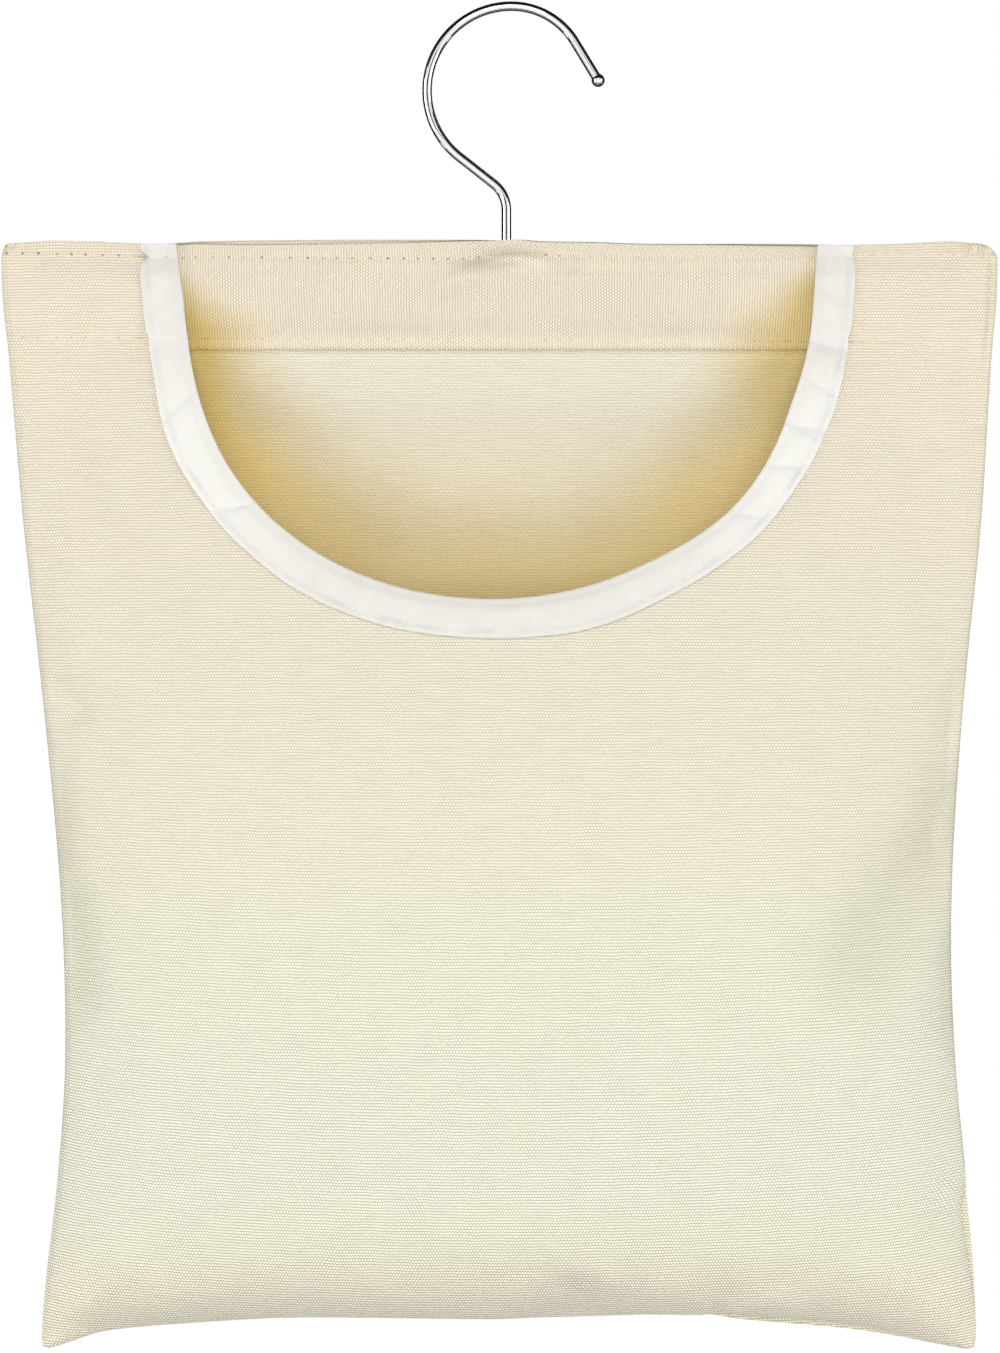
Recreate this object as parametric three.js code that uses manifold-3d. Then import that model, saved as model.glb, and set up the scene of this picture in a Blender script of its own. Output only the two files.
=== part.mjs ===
// A cotton peg bag that hangs from a wire hook. The bag is sewn from a front panel with a deep
// U-shaped mouth, a back panel and a facing strip. The facing and the back panel make a sleeve
// for an oval wooden bar. The hook's shank drops through the bar and is peened over a washer
// inside a socket in the bar's underside, so the bag swivels on the hook.
//
// Millimetres. +Z is up, -Y is the front with the mouth, +X is to the right from the front.
// The origin is the point under the hook's crown where a rail or a line bears.
// Below, "fall" is how far a point lies under the top edge of the cloth, and "depth" is how far
// it lies in front of, or behind, the plane of the side seams.

import * as THREE from "three";
import { mergeVertices } from "three/addons/utils/BufferGeometryUtils.js";
import Module from "manifold-3d";

// Hook
const wireDiameter = 3.2;
const crookRadius = 28; // middle of the wire, round the back of the crook
const noseRadius = 24.5; // middle of the wire, round the front of the crook
const noseLength = 15; // straight run out to the ball
const noseLean = 31.3; // degrees from upright
const slopeLean = 38.1; // degrees below level, on the run back to the shank
const neckRadius = 11; // middle of the wire, where it turns down into the shank
const shankSetBack = 1.7; // the shank stands this far to the left of the crown
const ballDiameter = 4.4; // upset end of the wire
const hookReach = 77; // crown's underside to the top edge of the cloth
const peenedRim = 0.8; // how far the peened end stands out round the wire
const peenedThickness = 1.6;

// Washer, bore and socket
const boreClearance = 0.25; // all round the wire, and all round the washer
const washerRim = 1;
const washerThickness = 0.8;
const seatGap = 0.3; // between pieces that bear on each other along the shank
const socketDepth = 4;

// Bar
const barWall = 1.15; // wood left beside the socket
const barEdgeEase = 4.9; // from each row of stitches to the bar's edge
const barEndEase = 12; // from each top corner of the cloth to the bar's end
const barRoundShare = 0.42; // of the bar's thickness, the radius along its edges
const barEndShare = 0.49; // of the bar's thickness, the radius at its ends

// Cloth
const canvasThickness = 0.8;
const tapeThickness = 0.4;
const layerGap = 0.3;
const bagWidth = 330; // across the top
const bagDrop = 367; // top edge to the bottom corners
const lipHeight = 4.5; // top edge to the upper row of stitches
const sleeveDepth = 32.3; // top edge to the lower row of stitches
const facingHem = 2.9; // facing below the lower row of stitches
const facingInset = 1; // facing short of each side seam
const settleFall = 65; // below the sleeve, where the panels come together at the side seams
const frontBelly = 44; // how far the filled front stands out
const backBelly = 32;
const bagSetBack = 2.3; // the cloth sits this far to the left of the shank
const shankPucker = 5; // half width of the pucker where the shank comes through the cloth
const edgeClimbShare = 0.6; // of the bar's rounding, where the cloth has climbed onto its face
const endClimbShare = 0.75; // of the ease at the bar's ends, over which the cloth climbs

// Mouth and its binding
const mouthWidth = 212;
const mouthDepth = 118.2;
const mouthSetBack = 0.8; // the mouth's middle is this far to the left of the cloth's
const mouthPower = 2.6; // how full the U is
const bindingWidth = 12.3;

// Stitches
const threadDiameter = 0.45;
const stitchLength = 5.2;
const stitchArch = 0.12; // how far a stitch stands up at its middle
const stitchRowEase = 8; // upper and lower rows end this far from the side seams
const bindingStitchEdge = 2; // from the binding's outer edge to its row of stitches

// Outlines. Heights are shares of bagDrop, insets are shares of half the bag's width.
const heightShares = [0, 0.1, 0.25, 0.4, 0.55, 0.65, 0.75, 0.85, 0.93, 1];
const leftInsetShares = [0, 0.016, 0.042, 0.079, 0.1115, 0.1245, 0.1245, 0.1095, 0.0895, 0.079];
const rightInsetShares = [0, 0.014, 0.034, 0.067, 0.0895, 0.0945, 0.081, 0.056, 0.045, 0.043];
// The bottom edge lifts between its corners. Places are shares of the half width, lifts of bagDrop.
const bottomPlaceShares = [-1, -0.94, -0.87, -0.7, -0.42, 0, 0.41, 0.5, 0.73, 0.87, 0.94, 1];
const bottomLiftShares = [0, 0.0085, 0.018, 0.025, 0.031, 0.03, 0.0335, 0.0285, 0.02, 0.0105, 0.005, 0];
const bellyHeightShare = 0.68; // of the drop below the sleeve, where the belly is fullest
const bellyTurnShare = 0.6; // of the same drop, where it starts to turn in to the bottom seam
const bellyRisePower = 2.2;
const bellyTurnPower = 3;
const bellyClosePower = 0.6;
const bellyCrossPower = 2.6;
const bellyEdgePower = 0.75;
const bindingTurnShare = 0.1; // of bagDrop, over which the binding turns square to the mouth

// Sizes that follow
const wireRadius = wireDiameter / 2;
const shankX = -shankSetBack;
const clothX = shankX - bagSetBack;
const mouthX = clothX - mouthSetBack;
const clothTop = -hookReach;
const boreRadius = wireRadius + boreClearance;
const washerRadius = wireRadius + washerRim;
const socketRadius = washerRadius + boreClearance;
const barThickness = 2 * (socketRadius + barWall);
const barRound = barThickness * barRoundShare;
const barHeight = sleeveDepth - lipHeight - 2 * barEdgeEase;
const barLength = bagWidth - 2 * barEndEase;
const barMiddle = clothTop - (lipHeight + sleeveDepth) / 2;
const barBottom = barMiddle - barHeight / 2;
const washerTop = barBottom + socketDepth - seatGap;
const washerBottom = washerTop - washerThickness;
const peenedTop = washerBottom - seatGap;
const peenedBottom = peenedTop - peenedThickness;
const seamSeat = (layerGap + canvasThickness) / 2; // facing and back panel, each side of the seam plane
const panelSeat = seamSeat + canvasThickness + tapeThickness + 2 * layerGap; // leaves room for the binding
const barSwell = barThickness / 2 + layerGap + canvasThickness / 2 - seamSeat;
const shankSwell = wireRadius + layerGap + canvasThickness / 2 - seamSeat;
const sleeveTurn = barEdgeEase + barRound * edgeClimbShare;
const endTurn = barEndEase * endClimbShare;
const legOffset = (canvasThickness + tapeThickness) / 2 + layerGap; // middle of canvas to middle of tape
const foldRadius = legOffset + tapeThickness / 2; // outside of the binding's fold round the canvas
const threadLift = layerGap + threadDiameter / 2;

// How finely curves are divided
const wireStepCount = 60;
const wireSegmentCount = 5;
const ballSideCount = 12;
const turnedSideCount = 20;
const barSegmentCount = 5;
const mouthCutPointCount = 48;
const mouthSearchCount = 2000;
const bindingStepCount = 32;
const threadSideCount = 4;
const slopeStepShare = 0.001; // of a row of stitches, to either side, when its direction is measured

const wasm = await Module();
wasm.setup();

// Curves and tables

const smooth = (share) => THREE.MathUtils.smoothstep(share, 0, 1);
const clampShare = (share) => THREE.MathUtils.clamp(share, 0, 1);

function curveThrough(places, values) {
  const table = new THREE.CubicInterpolant(places, values, 1, new Float32Array(1));
  return (place) => table.evaluate(THREE.MathUtils.clamp(place, places[0], places.at(-1)))[0];
}

const leftInset = curveThrough(heightShares, leftInsetShares);
const rightInset = curveThrough(heightShares, rightInsetShares);
const bottomLift = curveThrough(bottomPlaceShares, bottomLiftShares);

// Cloth outline: where the side seams are at a given fall, and where the bottom seam is

const leftSeam = (fall) => clothX - (bagWidth / 2) * (1 - leftInset(fall / bagDrop));
const rightSeam = (fall) => clothX + (bagWidth / 2) * (1 - rightInset(fall / bagDrop));
const bottomFall = (across) => bagDrop * (1 - bottomLift(across));

// across runs from -1 at the left seam to 1 at the right seam
const acrossAt = (x, fall) => {
  const left = leftSeam(fall);
  const right = rightSeam(fall);
  return (2 * x - left - right) / (right - left);
};
const xAt = (across, fall) => THREE.MathUtils.lerp(leftSeam(fall), rightSeam(fall), (across + 1) / 2);

// How the sleeve swells over the bar, from 0 at each row of stitches to 1 on the bar
const swellAlong = (fall) =>
  smooth((fall - lipHeight) / sleeveTurn) * smooth((sleeveDepth - fall) / sleeveTurn);
const swellAcross = (x, fall) => smooth(Math.min(x - leftSeam(fall), rightSeam(fall) - x) / endTurn);

function sleeveSwell(x, fall) {
  const onBar = swellAlong(fall) * swellAcross(x, fall);
  const overShank = fall < sleeveDepth / 2 ? Math.exp(-(((x - shankX) / shankPucker) ** 2)) : 0;
  return barSwell * onBar + shankSwell * overShank * (1 - onBar);
}

// The filled bag's shape, from 0 at its seams to 1 where it is fullest
function belly(x, fall) {
  if (fall <= sleeveDepth) return 0;
  const across = THREE.MathUtils.clamp(acrossAt(x, fall), -1, 1);
  const down = clampShare((fall - sleeveDepth) / (bottomFall(across) - sleeveDepth));
  const rise = 1 - (1 - clampShare(down / bellyHeightShare)) ** bellyRisePower;
  const turn = clampShare((down - bellyTurnShare) / (1 - bellyTurnShare));
  const close = (1 - turn ** bellyTurnPower) ** bellyClosePower;
  return (1 - Math.abs(across) ** bellyCrossPower) ** bellyEdgePower * rise * close;
}

// Depth of the middle of each cloth
const facingDepth = (x, fall) => seamSeat + sleeveSwell(x, fall);
const backDepth = (x, fall) => seamSeat + sleeveSwell(x, fall) + backBelly * belly(x, fall);
function frontDepth(x, fall) {
  const full = belly(x, fall);
  const settled = smooth((fall - sleeveDepth) / settleFall); // the panel leaves the facing behind
  const seat = THREE.MathUtils.lerp(panelSeat, seamSeat + (panelSeat - seamSeat) * full, settled);
  return seat + barSwell * swellAlong(fall) * swellAcross(x, fall) + frontBelly * full;
}

// The U of the mouth, from its left end at the top edge to its right end. edge widens it.
class MouthEdge extends THREE.Curve {
  constructor(edge = 0) {
    super();
    this.halfWidth = mouthWidth / 2 + edge;
    this.drop = mouthDepth + edge;
  }
  getPoint(share, target = new THREE.Vector3()) {
    const turn = Math.PI * share;
    const fall = this.drop * Math.max(Math.sin(turn), 0) ** (2 / mouthPower);
    return target.set(mouthX - this.halfWidth * Math.cos(turn), 0, clothTop - fall);
  }
}

const mouthHalfAt = (fall) => (mouthWidth / 2) * Math.sqrt(1 - (fall / mouthDepth) ** mouthPower);

// A flat arc in the plane of the hook
class FlatArc extends THREE.Curve {
  constructor(centre, radius, startAngle, endAngle) {
    super();
    Object.assign(this, { centre, radius, startAngle, endAngle });
  }
  getPoint(share, target = new THREE.Vector3()) {
    const angle = THREE.MathUtils.lerp(this.startAngle, this.endAngle, share);
    const across = this.radius * Math.cos(angle);
    return target.set(this.centre.x + across, 0, this.centre.z + this.radius * Math.sin(angle));
  }
}

// Solids and meshes

function solidFrom(geometry) {
  const bare = geometry.clone();
  bare.deleteAttribute("normal");
  bare.deleteAttribute("uv");
  const merged = mergeVertices(bare);
  const mesh = new wasm.Mesh({
    numProp: 3,
    vertProperties: merged.attributes.position.array,
    triVerts: new Uint32Array(merged.index.array),
  });
  return new wasm.Manifold(mesh);
}

function geometryFrom(solid) {
  const { vertProperties, triVerts } = solid.getMesh();
  const geometry = new THREE.BufferGeometry();
  geometry.setAttribute("position", new THREE.BufferAttribute(vertProperties, 3));
  geometry.setIndex(new THREE.BufferAttribute(triVerts, 1));
  geometry.computeVertexNormals();
  return geometry;
}

// A closed shell over a grid of points. Each grid entry holds the middle of the cloth at point
// and the unit direction of its thickness at lay.
function shellGeometry(grid, thickness) {
  const rowCount = grid.length;
  const columnCount = grid[0].length;
  const positions = [];
  const faces = [];
  for (const side of [thickness / 2, -thickness / 2]) {
    for (const { point, lay } of grid.flat()) positions.push(...point.clone().addScaledVector(lay, side));
  }
  const outer = (row, column) => row * columnCount + column;
  const inner = (row, column) => rowCount * columnCount + outer(row, column);
  const quad = (a, b, c, d) => faces.push(a, b, c, a, c, d);
  for (let row = 1; row < rowCount; row++) {
    for (let column = 1; column < columnCount; column++) {
      const corners = [[row - 1, column - 1], [row - 1, column], [row, column], [row, column - 1]];
      quad(...corners.map((corner) => outer(...corner)));
      quad(...corners.map((corner) => inner(...corner)).reverse());
    }
  }
  const around = [];
  for (let column = 0; column < columnCount; column++) around.push([0, column]);
  for (let row = 1; row < rowCount; row++) around.push([row, columnCount - 1]);
  for (let column = columnCount - 2; column >= 0; column--) around.push([rowCount - 1, column]);
  for (let row = rowCount - 2; row > 0; row--) around.push([row, 0]);
  around.forEach((corner, index) => {
    const next = around[(index + 1) % around.length];
    quad(outer(...corner), inner(...corner), inner(...next), outer(...next));
  });
  const geometry = new THREE.BufferGeometry();
  geometry.setAttribute("position", new THREE.BufferAttribute(new Float32Array(positions), 3));
  geometry.setIndex(faces);
  const volume = solidFrom(geometry).volume();
  if (volume < 0) geometry.setIndex(faces.reverse());
  geometry.computeVertexNormals();
  return geometry;
}

// The cloth's own normal at each grid point, turned to lie along Y where layers are stacked
function layDirections(points, stackedAt) {
  const sample = (row, column) => {
    const safeRow = THREE.MathUtils.clamp(row, 0, points.length - 1);
    const safeColumn = THREE.MathUtils.clamp(column, 0, points[0].length - 1);
    return points[safeRow][safeColumn];
  };
  return points.map((line, row) =>
    line.map((point, column) => {
      const alongRow = sample(row, column + 1).clone().sub(sample(row, column - 1));
      const downColumn = sample(row + 1, column).clone().sub(sample(row - 1, column));
      const lay = alongRow.cross(downColumn).normalize();
      const straight = new THREE.Vector3(0, Math.sign(lay.y) || 1, 0);
      lay.lerp(straight, stackedAt(clothTop - point.z)).normalize();
      return { point, lay };
    }),
  );
}

// Rows of the grid: levels that follow the sleeve, then shares of the drop below it
const turnShares = [0, 0.25, 0.5, 0.75, 1];
const sleeveFalls = [
  0,
  ...turnShares.map((share) => lipHeight + sleeveTurn * share),
  ...turnShares.map((share) => sleeveDepth - sleeveTurn * (1 - share)),
];
const bodyRowCount = 21;
const crowdShare = 0.4; // how strongly the rows crowd at the sleeve and at the bottom seam
const bodyRowShares = Array.from({ length: bodyRowCount }, (_, row) => {
  const share = (row + 1) / bodyRowCount;
  return THREE.MathUtils.lerp(share, (1 - Math.cos(Math.PI * share)) / 2, crowdShare);
});

// Columns of the grid: close together where the cloth climbs onto the bar's ends and at the
// shank's pucker, and evenly spaced between
const evenColumnCount = 18;
const puckerShares = [-1.8, -1.1, -0.55, 0, 0.55, 1.1, 1.8];
const puckerPlaces = puckerShares.map((share) => acrossAt(shankX + shankPucker * share, 0));
const puckerMargin = (puckerPlaces[1] - puckerPlaces[0]) / 2;
const endPlace = endTurn / (bagWidth / 2);
const evenPlaces = Array.from({ length: evenColumnCount - 1 }, (_, column) =>
  THREE.MathUtils.lerp(endPlace - 1, 1 - endPlace, (column + 1) / evenColumnCount),
);
const columns = [
  ...turnShares.map((share) => share * endPlace - 1),
  ...evenPlaces.filter((place) => place < puckerPlaces[0] - puckerMargin),
  ...puckerPlaces,
  ...evenPlaces.filter((place) => place > puckerPlaces.at(-1) + puckerMargin),
  ...turnShares.map((share) => 1 - share * endPlace).reverse(),
];

function panelGeometry(depthAt, side) {
  const points = sleeveFalls.map((fall) =>
    columns.map((across) => {
      const x = xAt(across, fall);
      return new THREE.Vector3(x, side * depthAt(x, fall), clothTop - fall);
    }),
  );
  for (const share of bodyRowShares) {
    points.push(
      columns.map((across) => {
        const fall = sleeveDepth + (bottomFall(across) - sleeveDepth) * share;
        const x = xAt(across, fall);
        return new THREE.Vector3(x, side * depthAt(x, fall), clothTop - fall);
      }),
    );
  }
  const stackedAt = (fall) => 1 - smooth((fall - sleeveDepth) / settleFall);
  return shellGeometry(layDirections(points, stackedAt), canvasThickness);
}

// Pieces

function hookGeometry() {
  const crown = new THREE.Vector3(0, 0, wireRadius);
  const crookCentre = crown.clone().setZ(crown.z - crookRadius);
  const noseCentre = crown.clone().setZ(crown.z - noseRadius);
  const noseTurn = THREE.MathUtils.degToRad(noseLean);
  const slopeTurn = THREE.MathUtils.degToRad(slopeLean);
  const noseArc = new FlatArc(noseCentre, noseRadius, noseTurn, Math.PI / 2);
  const noseStart = noseArc.getPoint(0);
  const noseWay = new THREE.Vector3(Math.sin(noseTurn), 0, -Math.cos(noseTurn));
  const ballCentre = noseStart.clone().addScaledVector(noseWay, noseLength);
  const crookArc = new FlatArc(crookCentre, crookRadius, Math.PI / 2, (3 * Math.PI) / 2 - slopeTurn);
  const slopeStart = crookArc.getPoint(1);
  const neckTurn = Math.PI / 2 - slopeTurn;
  const neckCentreX = shankX - neckRadius;
  const slopeEnd = new THREE.Vector3(neckCentreX + neckRadius * Math.cos(neckTurn), 0, 0);
  slopeEnd.z = slopeStart.z - (slopeEnd.x - slopeStart.x) * Math.tan(slopeTurn);
  const neckCentre = new THREE.Vector3(neckCentreX, 0, slopeEnd.z - neckRadius * Math.sin(neckTurn));
  const neckArc = new FlatArc(neckCentre, neckRadius, neckTurn, 0);
  const shankTop = neckArc.getPoint(1);
  const shankEnd = new THREE.Vector3(shankX, 0, (peenedTop + peenedBottom) / 2);

  const path = new THREE.CurvePath();
  path.add(new THREE.LineCurve3(ballCentre, noseStart));
  path.add(noseArc);
  path.add(crookArc);
  path.add(new THREE.LineCurve3(slopeStart, slopeEnd));
  path.add(neckArc);
  path.add(new THREE.LineCurve3(shankTop, shankEnd));

  const section = new THREE.Shape().absarc(0, 0, wireRadius, 0, 2 * Math.PI);
  const finely = { steps: wireStepCount, curveSegments: wireSegmentCount };
  const wire = new THREE.ExtrudeGeometry(section, { ...finely, extrudePath: path });
  const ball = new THREE.SphereGeometry(ballDiameter / 2, ballSideCount, ballSideCount);
  ball.translate(ballCentre.x, 0, ballCentre.z);
  const peenedRadius = wireRadius + peenedRim;
  const peened = turned([
    [0, peenedBottom],
    [peenedRadius - peenedRim, peenedBottom],
    [peenedRadius, (peenedTop + peenedBottom) / 2],
    [peenedRadius, peenedTop],
    [0, peenedTop],
  ]);
  return geometryFrom(solidFrom(wire).add(solidFrom(ball)).add(solidFrom(peened)));
}

// A solid of revolution about the shank. outline lists radius and height, from the bottom up.
function turned(outline) {
  const profile = outline.map(([radius, height]) => new THREE.Vector2(radius, height));
  const geometry = new THREE.LatheGeometry(profile, turnedSideCount);
  geometry.rotateX(Math.PI / 2);
  geometry.translate(shankX, 0, 0);
  return geometry;
}

function washerGeometry() {
  return turned([
    [boreRadius, washerBottom],
    [washerRadius, washerBottom],
    [washerRadius, washerTop],
    [boreRadius, washerTop],
    [boreRadius, washerBottom],
  ]);
}

function roundedRectangle(width, height, radius) {
  const shape = new THREE.Shape();
  const right = width / 2 - radius;
  const top = height / 2 - radius;
  shape.absarc(right, top, radius, 0, Math.PI / 2);
  shape.absarc(-right, top, radius, Math.PI / 2, Math.PI);
  shape.absarc(-right, -top, radius, Math.PI, (3 * Math.PI) / 2);
  shape.absarc(right, -top, radius, (3 * Math.PI) / 2, 2 * Math.PI);
  return shape;
}

function barGeometry() {
  const section = roundedRectangle(barThickness, barHeight, barRound);
  const plain = { bevelEnabled: false, curveSegments: barSegmentCount };
  const long = new THREE.ExtrudeGeometry(section, { ...plain, depth: barLength });
  long.rotateX(Math.PI / 2);
  long.rotateZ(Math.PI / 2);
  long.translate(clothX - barLength / 2, 0, barMiddle);
  const overrun = barHeight;
  const plan = roundedRectangle(barLength, barThickness, barThickness * barEndShare);
  const ends = new THREE.ExtrudeGeometry(plan, { ...plain, depth: overrun * 2 });
  ends.translate(clothX, 0, barMiddle - overrun);
  const bore = turned([
    [0, barBottom - overrun],
    [boreRadius, barBottom - overrun],
    [boreRadius, clothTop],
    [0, clothTop],
  ]);
  const socket = turned([
    [0, barBottom - overrun],
    [socketRadius, barBottom - overrun],
    [socketRadius, barBottom + socketDepth],
    [0, barBottom + socketDepth],
  ]);
  const blank = solidFrom(long).intersect(solidFrom(ends));
  return geometryFrom(blank.subtract(solidFrom(bore)).subtract(solidFrom(socket)));
}

function frontPanelGeometry() {
  const edge = new MouthEdge(foldRadius);
  const edgePoints = edge.getSpacedPoints(mouthCutPointCount);
  const outline = edgePoints.map((point) => new THREE.Vector2(point.x, point.z));
  const overrun = frontBelly + barThickness;
  outline.push(new THREE.Vector2(outline.at(-1).x, clothTop + overrun));
  outline.push(new THREE.Vector2(outline[0].x, clothTop + overrun));
  const straight = { depth: overrun * 2, bevelEnabled: false };
  const cut = new THREE.ExtrudeGeometry(new THREE.Shape(outline), straight);
  cut.rotateX(Math.PI / 2);
  cut.translate(0, overrun, 0);
  const panel = panelGeometry(frontDepth, -1);
  return geometryFrom(solidFrom(panel).subtract(solidFrom(cut)));
}

function facingGeometry() {
  const falls = [...sleeveFalls, sleeveDepth + facingHem];
  const inset = facingInset / (bagWidth / 2);
  const points = falls.map((fall) =>
    columns.map((across) => {
      const x = xAt(across * (1 - inset), fall);
      return new THREE.Vector3(x, -facingDepth(x, fall), clothTop - fall);
    }),
  );
  return shellGeometry(layDirections(points, () => 1), canvasThickness);
}

// Places along the mouth where the binding has a row: each sleeve level, then even steps between
function bindingPlaces(edge) {
  const fallAt = (share) => clothTop - edge.getPointAt(share).z;
  const falls = Array.from({ length: mouthSearchCount / 2 }, (_, step) => fallAt(step / mouthSearchCount));
  const shareAt = (fall) => falls.findIndex((value) => value >= fall) / mouthSearchCount;
  const down = sleeveFalls.slice(1).map(shareAt);
  const start = down.at(-1);
  const between = Array.from({ length: bindingStepCount - 1 }, (_, step) =>
    THREE.MathUtils.lerp(start, 1 - start, (step + 1) / bindingStepCount),
  );
  return [0, ...down, ...between, ...down.map((share) => 1 - share).reverse(), 1];
}

// A point of the cloth at a distance from the mouth's edge. It keeps its level in the sleeve,
// so that the binding's ends are cut along the top edge, and goes square to the edge below it.
function besideMouth(edge, share, distance) {
  const point = edge.getPointAt(share);
  const tangent = edge.getTangentAt(share);
  const square = new THREE.Vector2(tangent.z, -tangent.x);
  if (square.y > 0) square.negate();
  const level = new THREE.Vector2(share < 0.5 ? -1 : 1, 0);
  const fall = clothTop - point.z;
  const way = level.lerp(square, smooth((fall - sleeveDepth) / (bagDrop * bindingTurnShare))).normalize();
  return { x: point.x + way.x * distance, fall: fall - way.y * distance };
}

function bindingGeometry() {
  const edge = new MouthEdge();
  const legShares = [1, 0.5];
  const legs = legShares.map((share) => THREE.MathUtils.lerp(foldRadius, bindingWidth, share));
  const foldTurns = [0, 0.3, 0.7, 1].map((share) => share * Math.PI);
  const section = [
    ...legs.map((distance) => ({ distance, offset: -legOffset, turn: 0 })),
    ...foldTurns.map((turn) => ({
      distance: foldRadius - legOffset * Math.sin(turn),
      offset: -legOffset * Math.cos(turn),
      turn,
    })),
    ...legs.toReversed().map((distance) => ({ distance, offset: legOffset, turn: Math.PI })),
  ];
  const grid = bindingPlaces(edge).map((share) => {
    const middle = besideMouth(edge, share, 0);
    const outward = besideMouth(edge, share, bindingWidth);
    const way = new THREE.Vector3(outward.x - middle.x, 0, middle.fall - outward.fall).normalize();
    return section.map(({ distance, offset, turn }) => {
      const { x, fall } = besideMouth(edge, share, distance);
      const point = new THREE.Vector3(x, -frontDepth(x, fall) - offset, clothTop - fall);
      const lay = new THREE.Vector3(0, Math.cos(turn), 0).addScaledVector(way, -Math.sin(turn));
      return { point, lay: lay.normalize() };
    });
  });
  return shellGeometry(grid, tapeThickness);
}

// Sewing thread: one unbroken line that arches over each stitch and dips at each needle hole.
// surface gives the point of the cloth's face at a share of the row.
function threadGeometry(surface, rowLength) {
  const stitchCount = Math.round(rowLength / stitchLength);
  const ringShares = [0, 0.5];
  const places = [];
  for (let stitch = 0; stitch < stitchCount; stitch++) {
    for (const share of ringShares) places.push({ place: (stitch + share) / stitchCount, share });
  }
  places.push({ place: 1, share: 0 });
  const rings = places.map(({ place, share }) => {
    const middle = surface(place);
    middle.y -= threadLift + stitchArch * Math.sin(Math.PI * share);
    const ahead = surface(Math.min(place + slopeStepShare, 1));
    const way = ahead.sub(surface(Math.max(place - slopeStepShare, 0))).setY(0).normalize();
    const sideways = new THREE.Vector3(-way.z, 0, way.x);
    return Array.from({ length: threadSideCount }, (_, side) => {
      const angle = (2 * Math.PI * (side + 0.5)) / threadSideCount;
      const out = new THREE.Vector3(0, Math.sin(angle), 0).addScaledVector(sideways, Math.cos(angle));
      return middle.clone().addScaledVector(out, threadDiameter / 2);
    });
  });
  const faces = [];
  for (let ring = 1; ring < rings.length; ring++) {
    for (let side = 0; side < threadSideCount; side++) {
      const next = (side + 1) % threadSideCount;
      const low = (ring - 1) * threadSideCount;
      const high = ring * threadSideCount;
      faces.push(low + side, low + next, high + next, low + side, high + next, high + side);
    }
  }
  const last = (rings.length - 1) * threadSideCount;
  faces.push(0, 2, 1, 0, 3, 2, last, last + 1, last + 2, last, last + 2, last + 3);
  const positions = rings.flat().flatMap((point) => point.toArray());
  const geometry = new THREE.BufferGeometry();
  geometry.setAttribute("position", new THREE.BufferAttribute(new Float32Array(positions), 3));
  geometry.setIndex(faces);
  if (solidFrom(geometry).volume() < 0) geometry.setIndex(faces.reverse());
  geometry.computeVertexNormals();
  return geometry;
}

// Front face of whatever lies outermost at a place in the sleeve: canvas, binding or facing
function outermostFace(x, fall) {
  const fromEdge = Math.abs(x - mouthX) - mouthHalfAt(fall);
  const panelFace = frontDepth(x, fall) + canvasThickness / 2;
  const tapeFace = panelFace + layerGap + tapeThickness;
  const facingFace = facingDepth(x, fall) + canvasThickness / 2;
  const step = tapeFace - facingFace;
  const climb = smooth((fromEdge + step + foldRadius) / step); // onto the binding's fold
  const leave = smooth((fromEdge - bindingWidth - layerGap) / foldRadius); // off its outer edge
  return facingFace + step * climb - (tapeFace - panelFace) * leave;
}

// A row of stitches straight across the sleeve. It passes over the binding's own stitches.
function levelThread(fall) {
  const left = leftSeam(fall) + stitchRowEase;
  const right = rightSeam(fall) - stitchRowEase;
  const crossing = mouthHalfAt(fall) + bindingWidth - bindingStitchEdge;
  const surface = (place) => {
    const x = THREE.MathUtils.lerp(left, right, place);
    const fromCrossing = Math.abs(Math.abs(x - mouthX) - crossing);
    const hop = (threadDiameter + layerGap) * (1 - smooth(fromCrossing / stitchLength));
    return new THREE.Vector3(x, -outermostFace(x, fall) - hop, clothTop - fall);
  };
  return threadGeometry(surface, right - left);
}

function bindingThread() {
  const edge = new MouthEdge();
  const distance = bindingWidth - bindingStitchEdge;
  const start = (lipHeight + threadDiameter * 2) / edge.getLength();
  const surface = (place) => {
    const share = THREE.MathUtils.lerp(start, 1 - start, place);
    const { x, fall } = besideMouth(edge, share, distance);
    const face = frontDepth(x, fall) + canvasThickness / 2 + layerGap + tapeThickness;
    return new THREE.Vector3(x, -face, clothTop - fall);
  };
  return threadGeometry(surface, edge.getLength() + Math.PI * distance);
}

// Materials

const chrome = new THREE.MeshStandardMaterial({ color: 0xd9d9d9, roughness: 0.12, metalness: 1 });
const zinc = new THREE.MeshStandardMaterial({ color: 0xb9bcbd, roughness: 0.35, metalness: 1 });
const beech = new THREE.MeshStandardMaterial({ color: 0xd2ab78, roughness: 0.6, metalness: 0 });
const canvas = new THREE.MeshStandardMaterial({ color: 0xeae2cc, roughness: 0.9, metalness: 0 });
const whiteTape = new THREE.MeshStandardMaterial({ color: 0xf1efeb, roughness: 0.7, metalness: 0 });
const creamThread = new THREE.MeshStandardMaterial({ color: 0xf0e6d0, roughness: 0.8, metalness: 0 });
const whiteThread = new THREE.MeshStandardMaterial({ color: 0xf4f3f0, roughness: 0.8, metalness: 0 });

// Assembly

function piece(name, geometry, material) {
  const mesh = new THREE.Mesh(geometry, material);
  mesh.name = name;
  return mesh;
}

const hook = new THREE.Group();
hook.add(piece("wire_hook", hookGeometry(), chrome));
hook.add(piece("hook_washer", washerGeometry(), zinc));

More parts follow.
